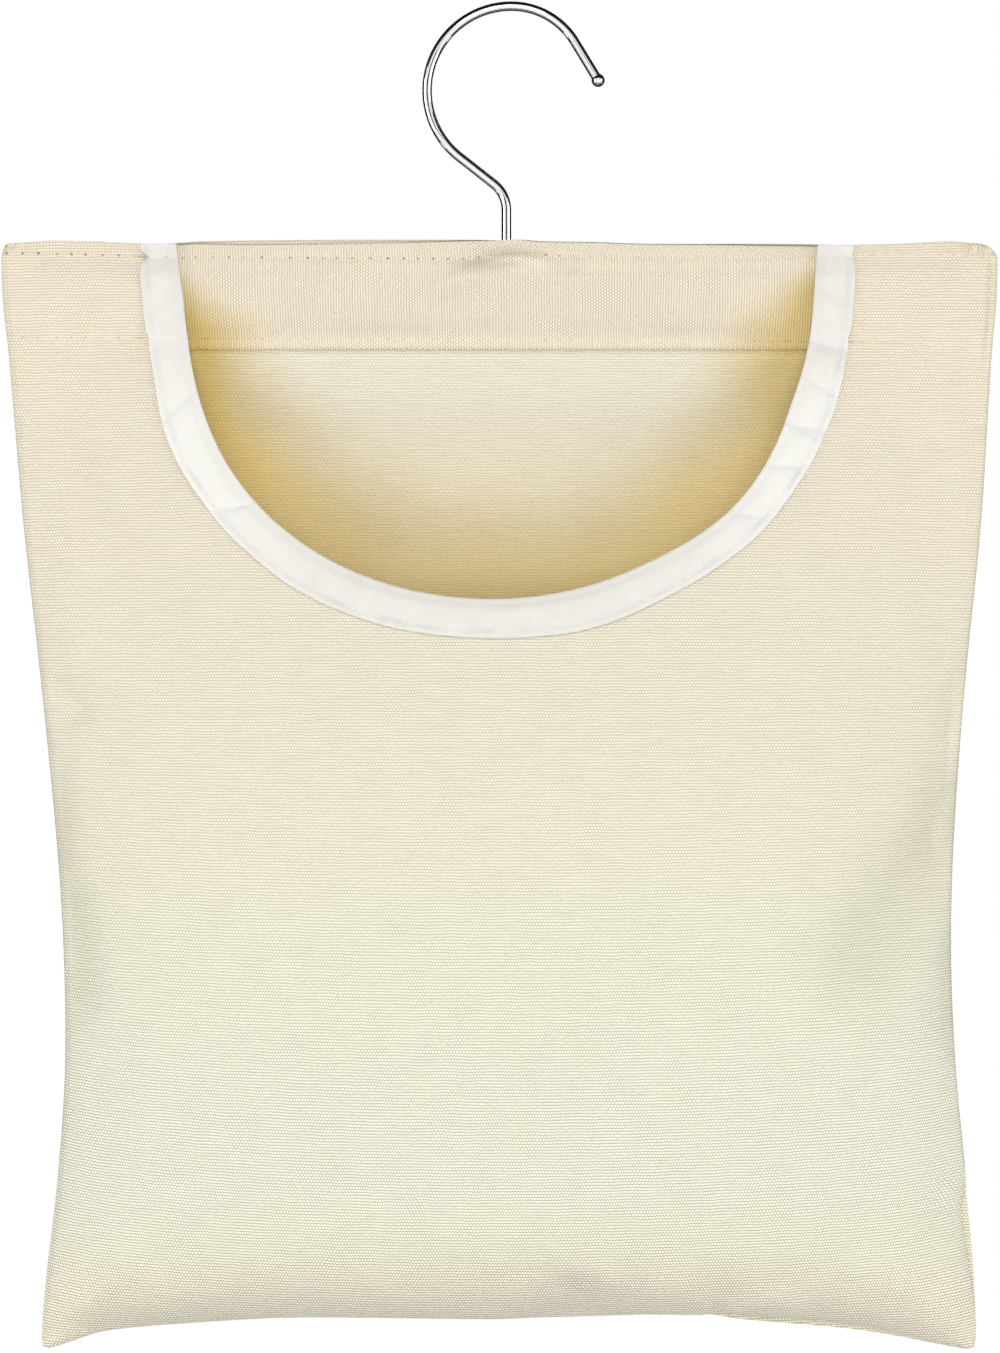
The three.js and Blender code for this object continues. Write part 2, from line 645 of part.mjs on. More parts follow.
const bag = new THREE.Group();
bag.add(piece("hanger_bar", barGeometry(), beech));
bag.add(piece("back_panel", panelGeometry(backDepth, 1), canvas));
bag.add(piece("front_panel", frontPanelGeometry(), canvas));
bag.add(piece("sleeve_facing", facingGeometry(), canvas));
bag.add(piece("mouth_binding", bindingGeometry(), whiteTape));
bag.add(piece("upper_sleeve_stitching", levelThread(lipHeight), creamThread));
bag.add(piece("lower_sleeve_stitching", levelThread(sleeveDepth), creamThread));
bag.add(piece("binding_stitching", bindingThread(), whiteThread));

const pegBag = new THREE.Group();
pegBag.add(hook, bag);

export default pegBag;
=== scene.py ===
"""A cotton peg bag that hangs from a wire hook.

Each cloth piece is a flat grid that is laid onto the bag's surfaces and given its thickness: the
front panel with its U-shaped mouth, the back panel, the facing across the mouth and the tape that
is folded round the mouth's edge. Sewing thread, a corner tack and the bent wire complete it.

Lengths are in millimetres until a point is placed. "fall" is how far a point lies under the top
edge of the cloth, and "depth" is how far it lies in front of, or behind, the side seams.
"""

import functools
import math

import bmesh
import bpy
from mathutils import Matrix, Vector, noise


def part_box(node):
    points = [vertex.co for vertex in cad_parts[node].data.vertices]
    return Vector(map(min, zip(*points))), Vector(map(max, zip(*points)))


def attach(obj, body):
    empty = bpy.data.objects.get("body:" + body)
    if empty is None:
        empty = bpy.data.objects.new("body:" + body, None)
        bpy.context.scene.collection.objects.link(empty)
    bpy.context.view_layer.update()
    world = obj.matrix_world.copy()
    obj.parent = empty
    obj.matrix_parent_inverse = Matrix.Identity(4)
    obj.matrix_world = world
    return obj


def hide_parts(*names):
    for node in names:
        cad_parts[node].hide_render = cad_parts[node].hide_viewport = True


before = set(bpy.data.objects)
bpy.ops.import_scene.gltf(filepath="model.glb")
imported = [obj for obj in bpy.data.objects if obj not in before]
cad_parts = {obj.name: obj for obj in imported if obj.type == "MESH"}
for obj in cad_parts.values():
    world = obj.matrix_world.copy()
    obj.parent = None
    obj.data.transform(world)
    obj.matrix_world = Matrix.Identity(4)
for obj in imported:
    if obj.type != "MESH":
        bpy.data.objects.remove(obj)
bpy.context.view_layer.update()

MM = 0.001

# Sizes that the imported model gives

cloth_low, cloth_high = [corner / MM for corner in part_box("back_panel")]
tape_low, tape_high = [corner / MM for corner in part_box("mouth_binding")]
washer_low, washer_high = [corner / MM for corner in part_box("hook_washer")]
bar_low, bar_high = [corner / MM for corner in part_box("hanger_bar")]
wire_low, wire_high = [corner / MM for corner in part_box("wire_hook")]

TAPE_WIDTH = 12.3
CLOTH_TOP = cloth_high.z
BAG_DROP = CLOTH_TOP - cloth_low.z
HALF_BAG = (cloth_high.x - cloth_low.x) / 2
CLOTH_X = (cloth_high.x + cloth_low.x) / 2
MOUTH_X = (tape_high.x + tape_low.x) / 2
HALF_MOUTH = (tape_high.x - tape_low.x) / 2 - TAPE_WIDTH
MOUTH_DEPTH = CLOTH_TOP - tape_low.z - TAPE_WIDTH
SHANK_X = (washer_low.x + washer_high.x) / 2
BAR_THICKNESS = bar_high.y - bar_low.y

# Cloth, as in the model, and the height curves of its edges

CANVAS = 0.8
TAPE = 0.4
LIP_HEIGHT = 4.5
SLEEVE_DEPTH = 32.3
FACING_HEM = 2.9
HEM_FOLDED = 5.5  # of the facing, turned under behind its hem
PANEL_SEAT = 2.35
SEAM_SEAT = 0.43
BAR_ROUND = BAR_THICKNESS * 0.42
SETTLE_FALL = 65.0
FRONT_BELLY = 44.0
BACK_BELLY = 32.0
SHANK_PUCKER = 5.0
MOUTH_POWER = 2.6
BAR_SWELL = BAR_THICKNESS / 2 + 0.15
SHANK_SWELL = 1.75
BOTTOM_CORNER = 3.2
TOP_LEFT_CORNER = (2.4, 5.0)  # width and height of its rounding
TOP_RIGHT_CORNER = (6.2, 5.8)
SEAM_EDGE = 1.0  # of flat cloth between a side seam and the sleeve
UPPER_ROW_FORWARD = 1.6
LOWER_ROW_FORWARD = 2.6

HEIGHT_SHARES = [0, 0.05, 0.1, 0.25, 0.4, 0.55, 0.65, 0.75, 0.85, 0.93, 1]
LEFT_INSET_SHARES = [0, 0.004, 0.016, 0.045, 0.082, 0.1145, 0.1275, 0.129, 0.1135, 0.0925, 0.079]
RIGHT_INSET_SHARES = [0, 0.003, 0.013, 0.034, 0.067, 0.0905, 0.0945, 0.0845, 0.063, 0.047, 0.043]
BOTTOM_PLACES = [-1, -0.94, -0.87, -0.7, -0.42, 0, 0.41, 0.5, 0.73, 0.87, 0.94, 1]
BOTTOM_LIFTS = [0, 0.0085, 0.018, 0.025, 0.031, 0.03, 0.0335, 0.0285, 0.02, 0.0105, 0.005, 0]
BELLY_HEIGHT_SHARE = 0.68
BELLY_TURN_SHARE = 0.6
BELLY_RISE_POWER = 2.2
BELLY_TURN_POWER = 6
BELLY_ACROSS_POWERS = (3.3, 0.67)
FORWARD_FADE = 34.0  # of fall under the sleeve, over which the drawn layers settle back
FRONT_WAVES = 3.0  # each cloth takes its waves from a layer of the noise of its own
BACK_WAVES = 30.0
DEEPEST_FOLD = 0.6  # of the way in from the belly to the seams' plane

# The top edge of the cloth isn't quite level: x, how far it stands up, and the fall of the seam
TOP_X = [-166, -160, -153, -136, -126, -116, -110, -103, -57, -6]
TOP_X += [2, 10, 29, 43, 92, 112, 129, 145, 152, 159]
TOP_LIFTS = [-0.3, 0.2, 0.7, 0.4, -0.1, -0.3, 0, 0.5, 1, 1.05]
TOP_LIFTS += [1.3, 0.55, 0.2, -0.3, -0.4, -0.7, -0.2, 0.5, 0, -0.6]
PEEK_X = [-116, -103, -86, -37, -12, 0, 60, 92, 110]
PEEKS = [0.6, 1.1, 1.6, 1.25, 0.5, 0.35, 0.35, 0.8, 0.7]
UPPER_ROW_X = [-158, -142, -126, -112, -103, -37, -15, -8, 7, 12, 22, 62, 105, 130, 153]
UPPER_ROW_FALLS = [3.7, 4.2, 4.7, 5.3, 4.9, 5.4, 5.4, 5.0, 3.8, 4.3, 4.7, 4.8, 4.4, 4.2, 4.1]
LOWER_ROW_X = [-160, -90, 0, 90, 153]
LOWER_ROW_FALLS = [31.6, 32.0, 32.3, 32.8, 33.9]

# How dark the painted shade of the upper row's needle holes is: it is drawn up and closed at the
# shank
PRICK_X = [-166, -60, -14, -10.5, -8, 4.5, 6, 9, 22, 32, 160]
PRICKS = [0.9, 0.75, 1, 1, 0, 0, 1, 0.8, 0.4, 0.2, 0.12]

# The cut edge isn't a perfect U: share of the way round, how far it is drawn in, and how much
# wider than its nominal width the tape lies
MOUTH_SHARES = [0, 0.03, 0.09, 0.15, 0.2, 0.35, 0.5, 0.58, 0.66, 0.76, 0.83, 0.88, 0.94, 0.98, 1]
MOUTH_INSETS = [0.3, 2.2, 1.9, 1.0, 0.4, -0.4, 0, 0.5, 1.2, 0.3, 1.1, 2, 1.2, 1.2, 0.3]
TAPE_SPREADS = [1, 1.12, 1.09, 1.17, 1.12, 1.13, 1.06, 1.13, 1.06, 1.0, 1.07, 1.16, 1.09, 1.1, 1]

# Weave of the canvas, drawn a little coarser than a real 10 oz duck so that it shows
WEFT_PITCH = 0.95
WARP_PITCH = 1.05
TWILL_PITCH = 0.9  # of the tape
STITCH_PITCH = 5.2

# Canvas: its yarns and the pits between them (darker by painted shade), at the warmer top and the
# paler foot; the painted shade inside the bag that multiplies them, the painted light there, and
# edge shade
YARN_TOP = "#f5ecdb"
YARN_LOW = "#f2f0df"
PAINTED_SHADE_PIT_TOP = "#cabca1"
PAINTED_SHADE_PIT_LOW = "#c9c6b1"
PAINTED_SHADE_OCHRE = (1.0, 0.8, 0.34)
PAINTED_INSIDE_LIGHT = (1.1, 1.105, 1.13)
EDGE_SHADE = "#9a9a80"


def smooth(share):
    """A share from 0 to 1 that starts and ends gently."""
    share = min(max(share, 0.0), 1.0)
    return share * share * (3 - 2 * share)


def between(value, low, fade_in, high, fade_out):
    """1 between low and high and 0 outside them, with a soft start and a soft end inside."""
    return smooth((value - low) / fade_in) * smooth((high - value) / fade_out)


def lerp(a, b, share):
    return a + (b - a) * share


def wander(x, y, z):
    """Smooth noise, about -1 to 1. It is the same on each run."""
    return noise.noise(Vector((x, y, z)))


def bump_at(value, middle, width):
    """A soft bump that is 1 at its middle."""
    return math.exp(-(((value - middle) / width) ** 2))


def curve_through(places, values):
    """A smooth curve through a table of places and values."""
    last = len(places) - 1
    slopes = []
    for i in range(last + 1):
        before, after = max(i - 1, 0), min(i + 1, last)
        slopes.append((values[after] - values[before]) / (places[after] - places[before]))

    def value_at(place):
        place = min(max(place, places[0]), places[-1])
        i = next((n for n in range(last) if place <= places[n + 1]), last - 1)
        width = places[i + 1] - places[i]
        t = (place - places[i]) / width
        start = (2 * t**3 - 3 * t**2 + 1) * values[i] + (t**3 - 2 * t**2 + t) * width * slopes[i]
        end = (3 * t**2 - 2 * t**3) * values[i + 1] + (t**3 - t**2) * width * slopes[i + 1]
        return start + end

    return value_at


left_inset = curve_through(HEIGHT_SHARES, LEFT_INSET_SHARES)
right_inset = curve_through(HEIGHT_SHARES, RIGHT_INSET_SHARES)
bottom_lift = curve_through(BOTTOM_PLACES, BOTTOM_LIFTS)
top_lift = curve_through(TOP_X, TOP_LIFTS)
peek = curve_through(PEEK_X, PEEKS)
upper_row = curve_through(UPPER_ROW_X, UPPER_ROW_FALLS)
lower_row = curve_through(LOWER_ROW_X, LOWER_ROW_FALLS)
prick = curve_through(PRICK_X, PRICKS)
mouth_inset = curve_through(MOUTH_SHARES, MOUTH_INSETS)
tape_spread = curve_through(MOUTH_SHARES, TAPE_SPREADS)


def rounded_corner(fall, width, height):
    """How far a top corner is rounded off at a fall."""
    if fall >= height:
        return 0.0
    return width * (1 - math.sqrt(1 - (1 - max(fall, 0) / height) ** 2))


def left_seam(fall):
    inset = HALF_BAG * left_inset(fall / BAG_DROP) + rounded_corner(fall, *TOP_LEFT_CORNER)
    return CLOTH_X - HALF_BAG + inset


def right_seam(fall):
    inset = HALF_BAG * right_inset(fall / BAG_DROP) + rounded_corner(fall, *TOP_RIGHT_CORNER)
    return CLOTH_X + HALF_BAG - inset


def from_seams(x, fall):
    """Distance from the nearer side seam."""
    return min(x - left_seam(fall), right_seam(fall) - x)


def bottom_fall(across):
    """The fall of the bottom edge, with its rounded corners."""
    turned = max(abs(across) * HALF_BAG - HALF_BAG + BOTTOM_CORNER, 0) / BOTTOM_CORNER
    rounded = BOTTOM_CORNER * (1 - math.sqrt(max(1 - turned * turned, 0)))
    return BAG_DROP * (1 - bottom_lift(across)) - rounded


def across_at(x, fall):
    """From -1 at the left seam to 1 at the right seam."""
    left, right = left_seam(fall), right_seam(fall)
    return (2 * x - left - right) / (right - left)


def x_at(across, fall):
    return lerp(left_seam(fall), right_seam(fall), (across + 1) / 2)


def point(x, depth, fall):
    """A place in metres. A depth is behind the seams when it is positive."""
    return Vector((x, depth, CLOTH_TOP - fall)) * MM


# Surfaces of the bag

def taut_climb(distance, turn_start, turn_radius):
    """How far cloth that is drawn tight from its stitches over the bar's rounded edge has climbed,
    from 0 to 1. The edge's rounding has its centre at turn_start + turn_radius."""
    reach = turn_start + turn_radius
    if distance <= 0:
        return 0.0
    if distance >= reach:
        return 1.0
    full = BAR_SWELL
    radius = turn_radius + full - BAR_THICKNESS / 2 + SEAM_SEAT
    base = full - radius
    lean = math.asin(min(radius / math.hypot(reach, base), 1)) + math.atan2(base, reach)
    if distance < reach - radius * math.sin(lean):
        height = distance * math.tan(lean)
    else:
        height = base + math.sqrt(radius**2 - (reach - distance) ** 2)
    return height / full * smooth(0.35 + distance / 3)


def on_bar(x, fall):
    """How far the sleeve has climbed onto the bar, from 0 to 1."""
    top_edge = CLOTH_TOP - bar_high.z
    bottom_edge = CLOTH_TOP - bar_low.z
    upper, lower = upper_row(x), lower_row(x)
    down = taut_climb(fall - upper, top_edge - upper, BAR_ROUND)
    up = taut_climb(lower - fall, lower - bottom_edge, BAR_ROUND)
    left_edge, right_edge = left_seam(fall) + SEAM_EDGE, right_seam(fall) - SEAM_EDGE
    left = taut_climb(x - left_edge, bar_low.x - left_edge, BAR_THICKNESS / 2)
    right = taut_climb(right_edge - x, right_edge - bar_high.x, BAR_THICKNESS / 2)
    return down * up * left * right


def near_shank(x, fall, width):
    """A soft bump across the shank, which passes only the sleeve's upper half."""
    return bump_at(x, SHANK_X, width) if fall < SLEEVE_DEPTH / 2 else 0


def sleeve_swell(x, fall):
    climbed = on_bar(x, fall)
    over_shank = near_shank(x, fall, SHANK_PUCKER)
    return BAR_SWELL * climbed + SHANK_SWELL * over_shank * (1 - climbed)


def drawn_forward(x, fall):
    """How far the stitching draws the sleeve's layers forward, so that its front lies flat."""
    pulled = lerp(UPPER_ROW_FORWARD, LOWER_ROW_FORWARD, smooth((fall - 12) / 12))
    at_shank = near_shank(x, fall, 10)
    return pulled * (1 - at_shank) * smooth((SLEEVE_DEPTH + FORWARD_FADE - fall) / FORWARD_FADE)


def belly(x, fall, flap=0.0):
    """The filled bag's shape, from 0 at its seams to 1 where it is fullest. A flap is left flat
    above the bottom seam."""
    if fall <= SLEEVE_DEPTH:
        return 0.0
    across = min(max(across_at(x, fall), -1), 1)
    bottom = bottom_fall(across)
    bottom -= flap * smooth((fall - bottom + 50) / 40)
    down = min(max((fall - SLEEVE_DEPTH) / (bottom - SLEEVE_DEPTH), 0), 1)
    rise = 1 - (1 - min(down / BELLY_HEIGHT_SHARE, 1)) ** BELLY_RISE_POWER
    turn = max(down - BELLY_TURN_SHARE, 0) / (1 - BELLY_TURN_SHARE)
    flatness, roundness = BELLY_ACROSS_POWERS
    level = (1 - abs(across) ** flatness) ** roundness
    return level * rise * (1 - turn**BELLY_TURN_POWER) ** 0.5


# Soft folds in the front panel: x and fall of each end, half width and height
FRONT_FOLDS = [
    (-152, 30, -119, 108, 9, -2.4),
    (-131, 36, -104, 96, 9, 1.4),
    (-147, 96, -140, 150, 7, 1.4),
    (-151, 146, -140, 158, 7, -4.2),
    (-146, 190, -138, 205, 8, 1.3),
    (-150, 172, -147, 200, 5, -2.6),
    (-144, 216, -138, 250, 7, -3.2),
    (134, 36, 139, 128, 8, -2.4),
    (150, 144, 147, 168, 7, -4.6),
    (148, 168, 139, 200, 10, -4.6),
    (142, 196, 108, 246, 10, -6.6),
    (124, 176, 88, 226, 12, 3.0),
    (147, 230, 143, 262, 6, -2.6),
    (144, 274, 139, 330, 7, -1.1),
    (-150, 356, -128, 338, 6, 1.5),
    (-136, 352, -112, 346, 8, -0.6),
    (-146, 360, -66, 356, 6, -3.1),
    (-56, 361, -20, 361, 10, -0.9),
    (-58, 346, -22, 349, 8, 0.4),
    (18, 360, 27, 342, 12, -6.6),
    (2, 356, 54, 356, 7, -3.4),
    (44, 346, 58, 343, 9, 1.4),
    (66, 352, 94, 350, 6, 3.0),
    (112, 360, 140, 362, 3.5, -1.4),
    (150, 358, 122, 338, 7, 1.5),
]

# Painted shade in the deepest of these folds: ends, half width and strength
FOLD_SHADES = [
    (147, 176, 136, 206, 10, 0.1),
    (139, 200, 104, 244, 16, 0.1),
    (149, 168, 146, 200, 4, 0.12),
    (145, 228, 145, 266, 3.5, 0.2),
    (-150, 178, -147, 204, 4, 0.13),
    (-144, 206, -140, 256, 6, 0.14),
]

# Folds of the facing, which the shank lifts and draws into a small tent
FACING_FOLDS = [
    (-2, 5, -26, 17, 4, 1.9),
    (-1, 8, -8, 26, 3, 1.0),
    (4, 6, 22, 13, 3.5, 1.0),
    (-60, 24, -20, 27, 3, 0.5),
    (50, 26, 84, 24, 3, 0.55),
    (-92, 20, -70, 23, 4, 0.5),
]

FOLD_FADE = 0.25  # of a fold's length, by which it reaches past each end as it fades


def fold_height(folds, x, fall):
    """The sum of all folds at a place. A fold fades towards both of its ends."""
    total = 0.0
    for x0, fall0, x1, fall1, width, height in folds:
        way_x, way_fall = x1 - x0, fall1 - fall0
        length = math.hypot(way_x, way_fall)
        along = ((x - x0) * way_x + (fall - fall0) * way_fall) / length**2
        off = ((x - x0) * way_fall - (fall - fall0) * way_x) / length
        ends = between(along, -FOLD_FADE, 2 * FOLD_FADE, 1 + FOLD_FADE, 2 * FOLD_FADE)
        total += height * ends * bump_at(off, 0, width)
    return total


def unevenness(x, fall, seed):
    """Slight waves that no sewn cloth is free of, stronger as puckers along the side seams."""
    broad = wander(x / 70, fall / 90, seed) * 0.8
    fine = wander(x / 22, fall / 26, seed + 5) * 0.22
    from_seam = from_seams(x, fall)
    pucker = wander(seed, fall / 7, x / 40) * 0.7 * math.exp(-max(from_seam, 0) / 9)
    below = smooth((fall - SLEEVE_DEPTH) / 20)
    held = smooth(from_seam / 3)
    return (broad + fine + pucker) * below * held + fine * 0.6 * (1 - below) * held


def facing_depth(x, fall):
    in_mouth = smooth((HALF_MOUTH - abs(x - MOUTH_X)) / 14)
    loose = 0.25 + 0.5 * wander(x / 26, fall / 11, 41.0)
    folds = max(fold_height(FACING_FOLDS, x, fall) + loose, 0) * in_mouth
    held = between(fall, upper_row(x) - 1, 4, lower_row(x), 5)
    tuck = 3.6 * bump_at(x, -1, 10) * bump_at(fall, 5.2, 2.3)
    forward = drawn_forward(x, fall) * (1 - on_bar(x, fall))
    return SEAM_SEAT + sleeve_swell(x, fall) + forward + folds * held + tuck


def back_depth(x, fall):
    full = belly(x, fall)
    waves = unevenness(x, fall, BACK_WAVES) * min(full * 4, 1)
    forward = drawn_forward(x, fall) * (1 - on_bar(x, fall)) ** 2
    forward += 0.4 * bump_at(fall, SLEEVE_DEPTH + FACING_HEM + 2.6, 2.2)
    return SEAM_SEAT + sleeve_swell(x, fall) - forward + BACK_BELLY * full + waves


def bottom_flap(x):
    """Height of the flat strip of sewn cloth that shows under the belly to the right."""
    return 2.0 * between(x, 62, 7, 150, 40)


def front_depth(x, fall):
    full = belly(x, fall, bottom_flap(x))
    settled = smooth((fall - SLEEVE_DEPTH) / SETTLE_FALL)
    seat = lerp(PANEL_SEAT, SEAM_SEAT + (PANEL_SEAT - SEAM_SEAT) * full, settled)
    from_seam = max(from_seams(x, fall), 0)
    laid = lerp(SEAM_SEAT + CANVAS + 0.05, SEAM_SEAT, smooth((fall - SLEEVE_DEPTH) / 8))
    seat = lerp(laid, seat, smooth(from_seam / 26))
    relief = unevenness(x, fall, FRONT_WAVES) + fold_height(FRONT_FOLDS, x, fall)
    relief = max(relief * min(full * 6, 1), -DEEPEST_FOLD * FRONT_BELLY * full)
    climbed = on_bar(x, fall)
    forward = drawn_forward(x, fall) * (1 - climbed)
    return seat + BAR_SWELL * climbed + forward + FRONT_BELLY * full + relief


# Meshes

EDGE_ROUNDING = 0.35  # of a sheet's thickness
EDGE_ANGLE = math.radians(70)
CLOTH_SHARP_ANGLE = math.radians(55)
WIRE_SHARP_ANGLE = math.radians(50)


def link(name, data):
    item = bpy.data.objects.new(name, data)
    bpy.context.scene.collection.objects.link(item)
    return item


def piece_from(name, shape):
    """A piece with the mesh of a finished bmesh, which is freed."""
    mesh = bpy.data.meshes.new(name)
    shape.to_mesh(mesh)
    shape.free()
    return link(name, mesh)


def needle_place(x, fall):
    """The number of the nearest stitch, and how far a place lies under each row, in metres."""
    drift = 0.3 * wander(x / 9, 0.5, 0)
    under_upper, under_lower = fall - upper_row(x), fall - lower_row(x)
    return Vector((x / STITCH_PITCH + drift, under_upper * MM, under_lower * MM))


def laid_cloth(name, columns, rows, lay, thickness):
    """A flat grid laid by lay, which turns a column's and a row's share into x, depth and fall, the
    weave's own coordinates in metres, and three shares: the shade of the bag's inside, that of
    edges, and the light that the inside gets. It is then given its thickness."""
    sheet = bmesh.new()
    bmesh.ops.create_grid(sheet, x_segments=columns, y_segments=rows, size=0.5)
    weave = sheet.loops.layers.uv.new("weave")
    # Painted shade of the inside, painted edge shade and painted inside light
    painted_light_and_shade = sheet.verts.layers.float_vector.new("painted_light_and_shade")
    needles = sheet.verts.layers.float_vector.new("needles")
    pricks = sheet.verts.layers.float.new("pricks")
    coordinates = {}
    for vert in sheet.verts:
        (x, depth, fall), threads, shares = lay(vert.co.x + 0.5, 0.5 - vert.co.y)
        vert.co = point(x, depth, fall)
        vert[painted_light_and_shade] = Vector(shares)
        vert[pricks] = prick(x)
        vert[needles] = needle_place(x, fall)
        coordinates[vert] = threads
    for face in sheet.faces:
        face.smooth = True
        for loop in face.loops:
            loop[weave].uv = coordinates[loop.vert]
    bmesh.ops.recalc_face_normals(sheet, faces=sheet.faces)
    piece = piece_from(name, sheet)
    wall = piece.modifiers.new("thickness", "SOLIDIFY")
    wall.thickness = thickness * MM
    wall.offset = 0
    soft_edge = piece.modifiers.new("soft_edge", "BEVEL")
    soft_edge.width = thickness * EDGE_ROUNDING * MM
    soft_edge.segments = 2
    soft_edge.limit_method = "ANGLE"
    soft_edge.angle_limit = EDGE_ANGLE
    settle(piece)
    return piece


def settle(piece):
    """Applies a piece's modifiers and keeps its sharp edges sharp."""
    depsgraph = bpy.context.evaluated_depsgraph_get()
    mesh = bpy.data.meshes.new_from_object(piece.evaluated_get(depsgraph), depsgraph=depsgraph)
    piece.modifiers.clear()
    piece.data = mesh
    mesh.set_sharp_from_angle(angle=CLOTH_SHARP_ANGLE)


# The mouth's edge, from its left end at the top edge round to its right end

CUT_BACK = 1.1  # the canvas stops this far inside the tape's fold
FRONT_COLUMNS = 420
FRONT_ROWS = 100
FRONT_CROWDING = 1.25  # above 1, its rows lie closer near the seams
LEFT_CORNER_SHARE = 0.3  # of the front's columns, where they reach the bottom corners
RIGHT_CORNER_SHARE = 0.7
STRIP_REACH = 30.0  # of the front, drawn aside for the strip at its right
HALVINGS = 32  # of an interval, until a place in it is exact enough


def mouth_edge(share, widen=0.0):
    """x and fall of the edge. widen moves it outwards."""
    turn = math.pi * share
    widen -= mouth_inset(share)
    fall = (MOUTH_DEPTH + widen) * max(math.sin(turn), 0) ** (2 / MOUTH_POWER)
    return MOUTH_X - (HALF_MOUTH + widen) * math.cos(turn), fall


def last_place(low, high, holds):
    """The last number from low to high for which something still holds."""
    for _ in range(HALVINGS):
        middle = (low + high) / 2
        if holds(middle):
            low = middle
        else:
            high = middle
    return low


def inside_panel(x, fall):
    across = across_at(x, fall)
    return abs(across) <= 1 and fall <= bottom_fall(across)


@functools.cache
def panel_edge(share, widen):
    """Where the line from the mouth's top middle through a point of its edge leaves the panel."""
    edge_x, edge_fall = mouth_edge(share, widen)

    def reached(times):
        return MOUTH_X + (edge_x - MOUTH_X) * times, edge_fall * times

    return reached(last_place(1.0, 5.0, lambda times: inside_panel(*reached(times))))


def corner_share(side):
    """The share of the mouth's edge whose line runs through a bottom corner of the panel."""
    low, high = (0.02, 0.5) if side < 0 else (0.5, 0.98)
    corner_x = x_at(side, BAG_DROP)
    aim = (corner_x - MOUTH_X) / BAG_DROP

    def before_corner(share):
        edge_x, edge_fall = mouth_edge(share, CUT_BACK)
        return (edge_x - MOUTH_X) / edge_fall < aim

    return last_place(low, high, before_corner)


def seam_line(x, fall):
    """Painted shade: a faint dark line where the cloth turns away at the side seams and along their
    stitched groove.
    """
    left, right = x - left_seam(fall), right_seam(fall) - x
    turned = 0.35 * bump_at(min(left, right), 0, 0.6) * (1 - smooth((fall - 300) / 20))
    sewn = 0.2 * bump_at(right, 2.8, 0.8) * between(fall, 5, 3, 48, 20)
    return turned + sewn + 0.12 * bump_at(left, 1.6, 0.6)


def weave_place(x, fall):
    """The weave's coordinates in metres. Its ribs sag towards the middle of the filled bag."""
    across = across_at(x, min(fall, BAG_DROP))
    sag = 5.0 * smooth((fall - 110) / 210) * (1 - across**2)
    return across * HALF_BAG * MM, (fall - sag) * MM


def lay_front():
    left_share, right_share = corner_share(-1), corner_share(1)

    def lay(column, row):
        if column < LEFT_CORNER_SHARE:
            share = left_share * column / LEFT_CORNER_SHARE
        elif column < RIGHT_CORNER_SHARE:
            part = (column - LEFT_CORNER_SHARE) / (RIGHT_CORNER_SHARE - LEFT_CORNER_SHARE)
            share = lerp(left_share, right_share, part)
        else:
            share = lerp(right_share, 1, (column - RIGHT_CORNER_SHARE) / (1 - RIGHT_CORNER_SHARE))
        inner_x, inner_fall = mouth_edge(share, CUT_BACK)
        outer_x, outer_fall = panel_edge(share, CUT_BACK)
        out = 1 - (1 - row) ** FRONT_CROWDING
        x, fall = lerp(inner_x, outer_x, out), lerp(inner_fall, outer_fall, out)
        strip = right_strip(x, fall)
        place = (x - strip, -front_depth(x, fall), raised(x, fall, 0.3))
        # Painted shade where the cloth turns away at the seams, along a stitched groove and in the
        # deepest folds
        edge = seam_line(x, fall) + fold_height(FOLD_SHADES, x, fall)
        return place, weave_place(x, fall), (0, edge, 0)

    return lay


def right_strip(x, fall):
    """How far cloth is drawn aside for the strip of back panel that shows beside the front panel's
    lower right seam."""
    width = 2.9 * between(fall, 310, 8, 362, 40)
    return width * smooth((x - right_seam(fall) + STRIP_REACH) / STRIP_REACH)


def raised(x, fall, drop):
    """The fall of a place when the top edge is lifted to its real line, less a drop."""
    near_top = smooth((LIP_HEIGHT - fall) / LIP_HEIGHT)
    return fall - (top_lift(x) - drop) * near_top


SHADE_FALLS = [0, 9, 13, 19, 29, 52, 80, 118]
SHADE_STARTS = [1.0, 0.945, 0.89, 0.83, 0.745, 0.64, 0.64, 0.64]
SHADE_ENDS = [1.25, 1.1, 1.045, 1.0, 0.96, 0.96, 0.96, 0.96]
shade_start = curve_through(SHADE_FALLS, SHADE_STARTS)
shade_end = curve_through(SHADE_FALLS, SHADE_ENDS)


RIM_POWER = 2.3  # between the powers of x and fall, so that the share grows nearly evenly


def rim_share(x, fall):
    """0 at the middle of the mouth's top, and about 1 all along its edge."""
    rim = ((x - MOUTH_X) / HALF_MOUTH) ** 2 + (max(fall, 0) / MOUTH_DEPTH) ** MOUTH_POWER
    return rim ** (1 / RIM_POWER)


def lit_middle(x, fall):
    """1 in the middle of the mouth, where light reaches down into the bag."""
    return smooth((70 - abs(x - 14)) / 40) * smooth((118 - fall) / 16)


def inner_shade(x, fall):
    """How deep in the bag's own shade the cloth behind the mouth lies."""
    rim = rim_share(x, fall) + wander(x / 24, fall / 24, 17.0) * 0.05
    rim += smooth(x / 60) * (0.02 + 0.012 * smooth((32 - fall) / 12))
    if abs(x - MOUTH_X) > HALF_MOUTH + 12:
        return 0.0
    start, end = shade_start(min(fall, MOUTH_DEPTH)), shade_end(min(fall, MOUTH_DEPTH))
    beside = min(max((rim - start) / (end - start), 0), 1) ** 1.4
    deep = min(0.012 * max(fall - 51, 0) * smooth((fall - 44) / 16), 0.7)
    deep *= 1 - 0.15 * lit_middle(x, fall)
    at_left = smooth((-x - 45) / 40) * between(fall, 12, 12, 100, 30)
    return (deep + (1 - deep) * beside) * (0.8 + 0.14 * at_left)


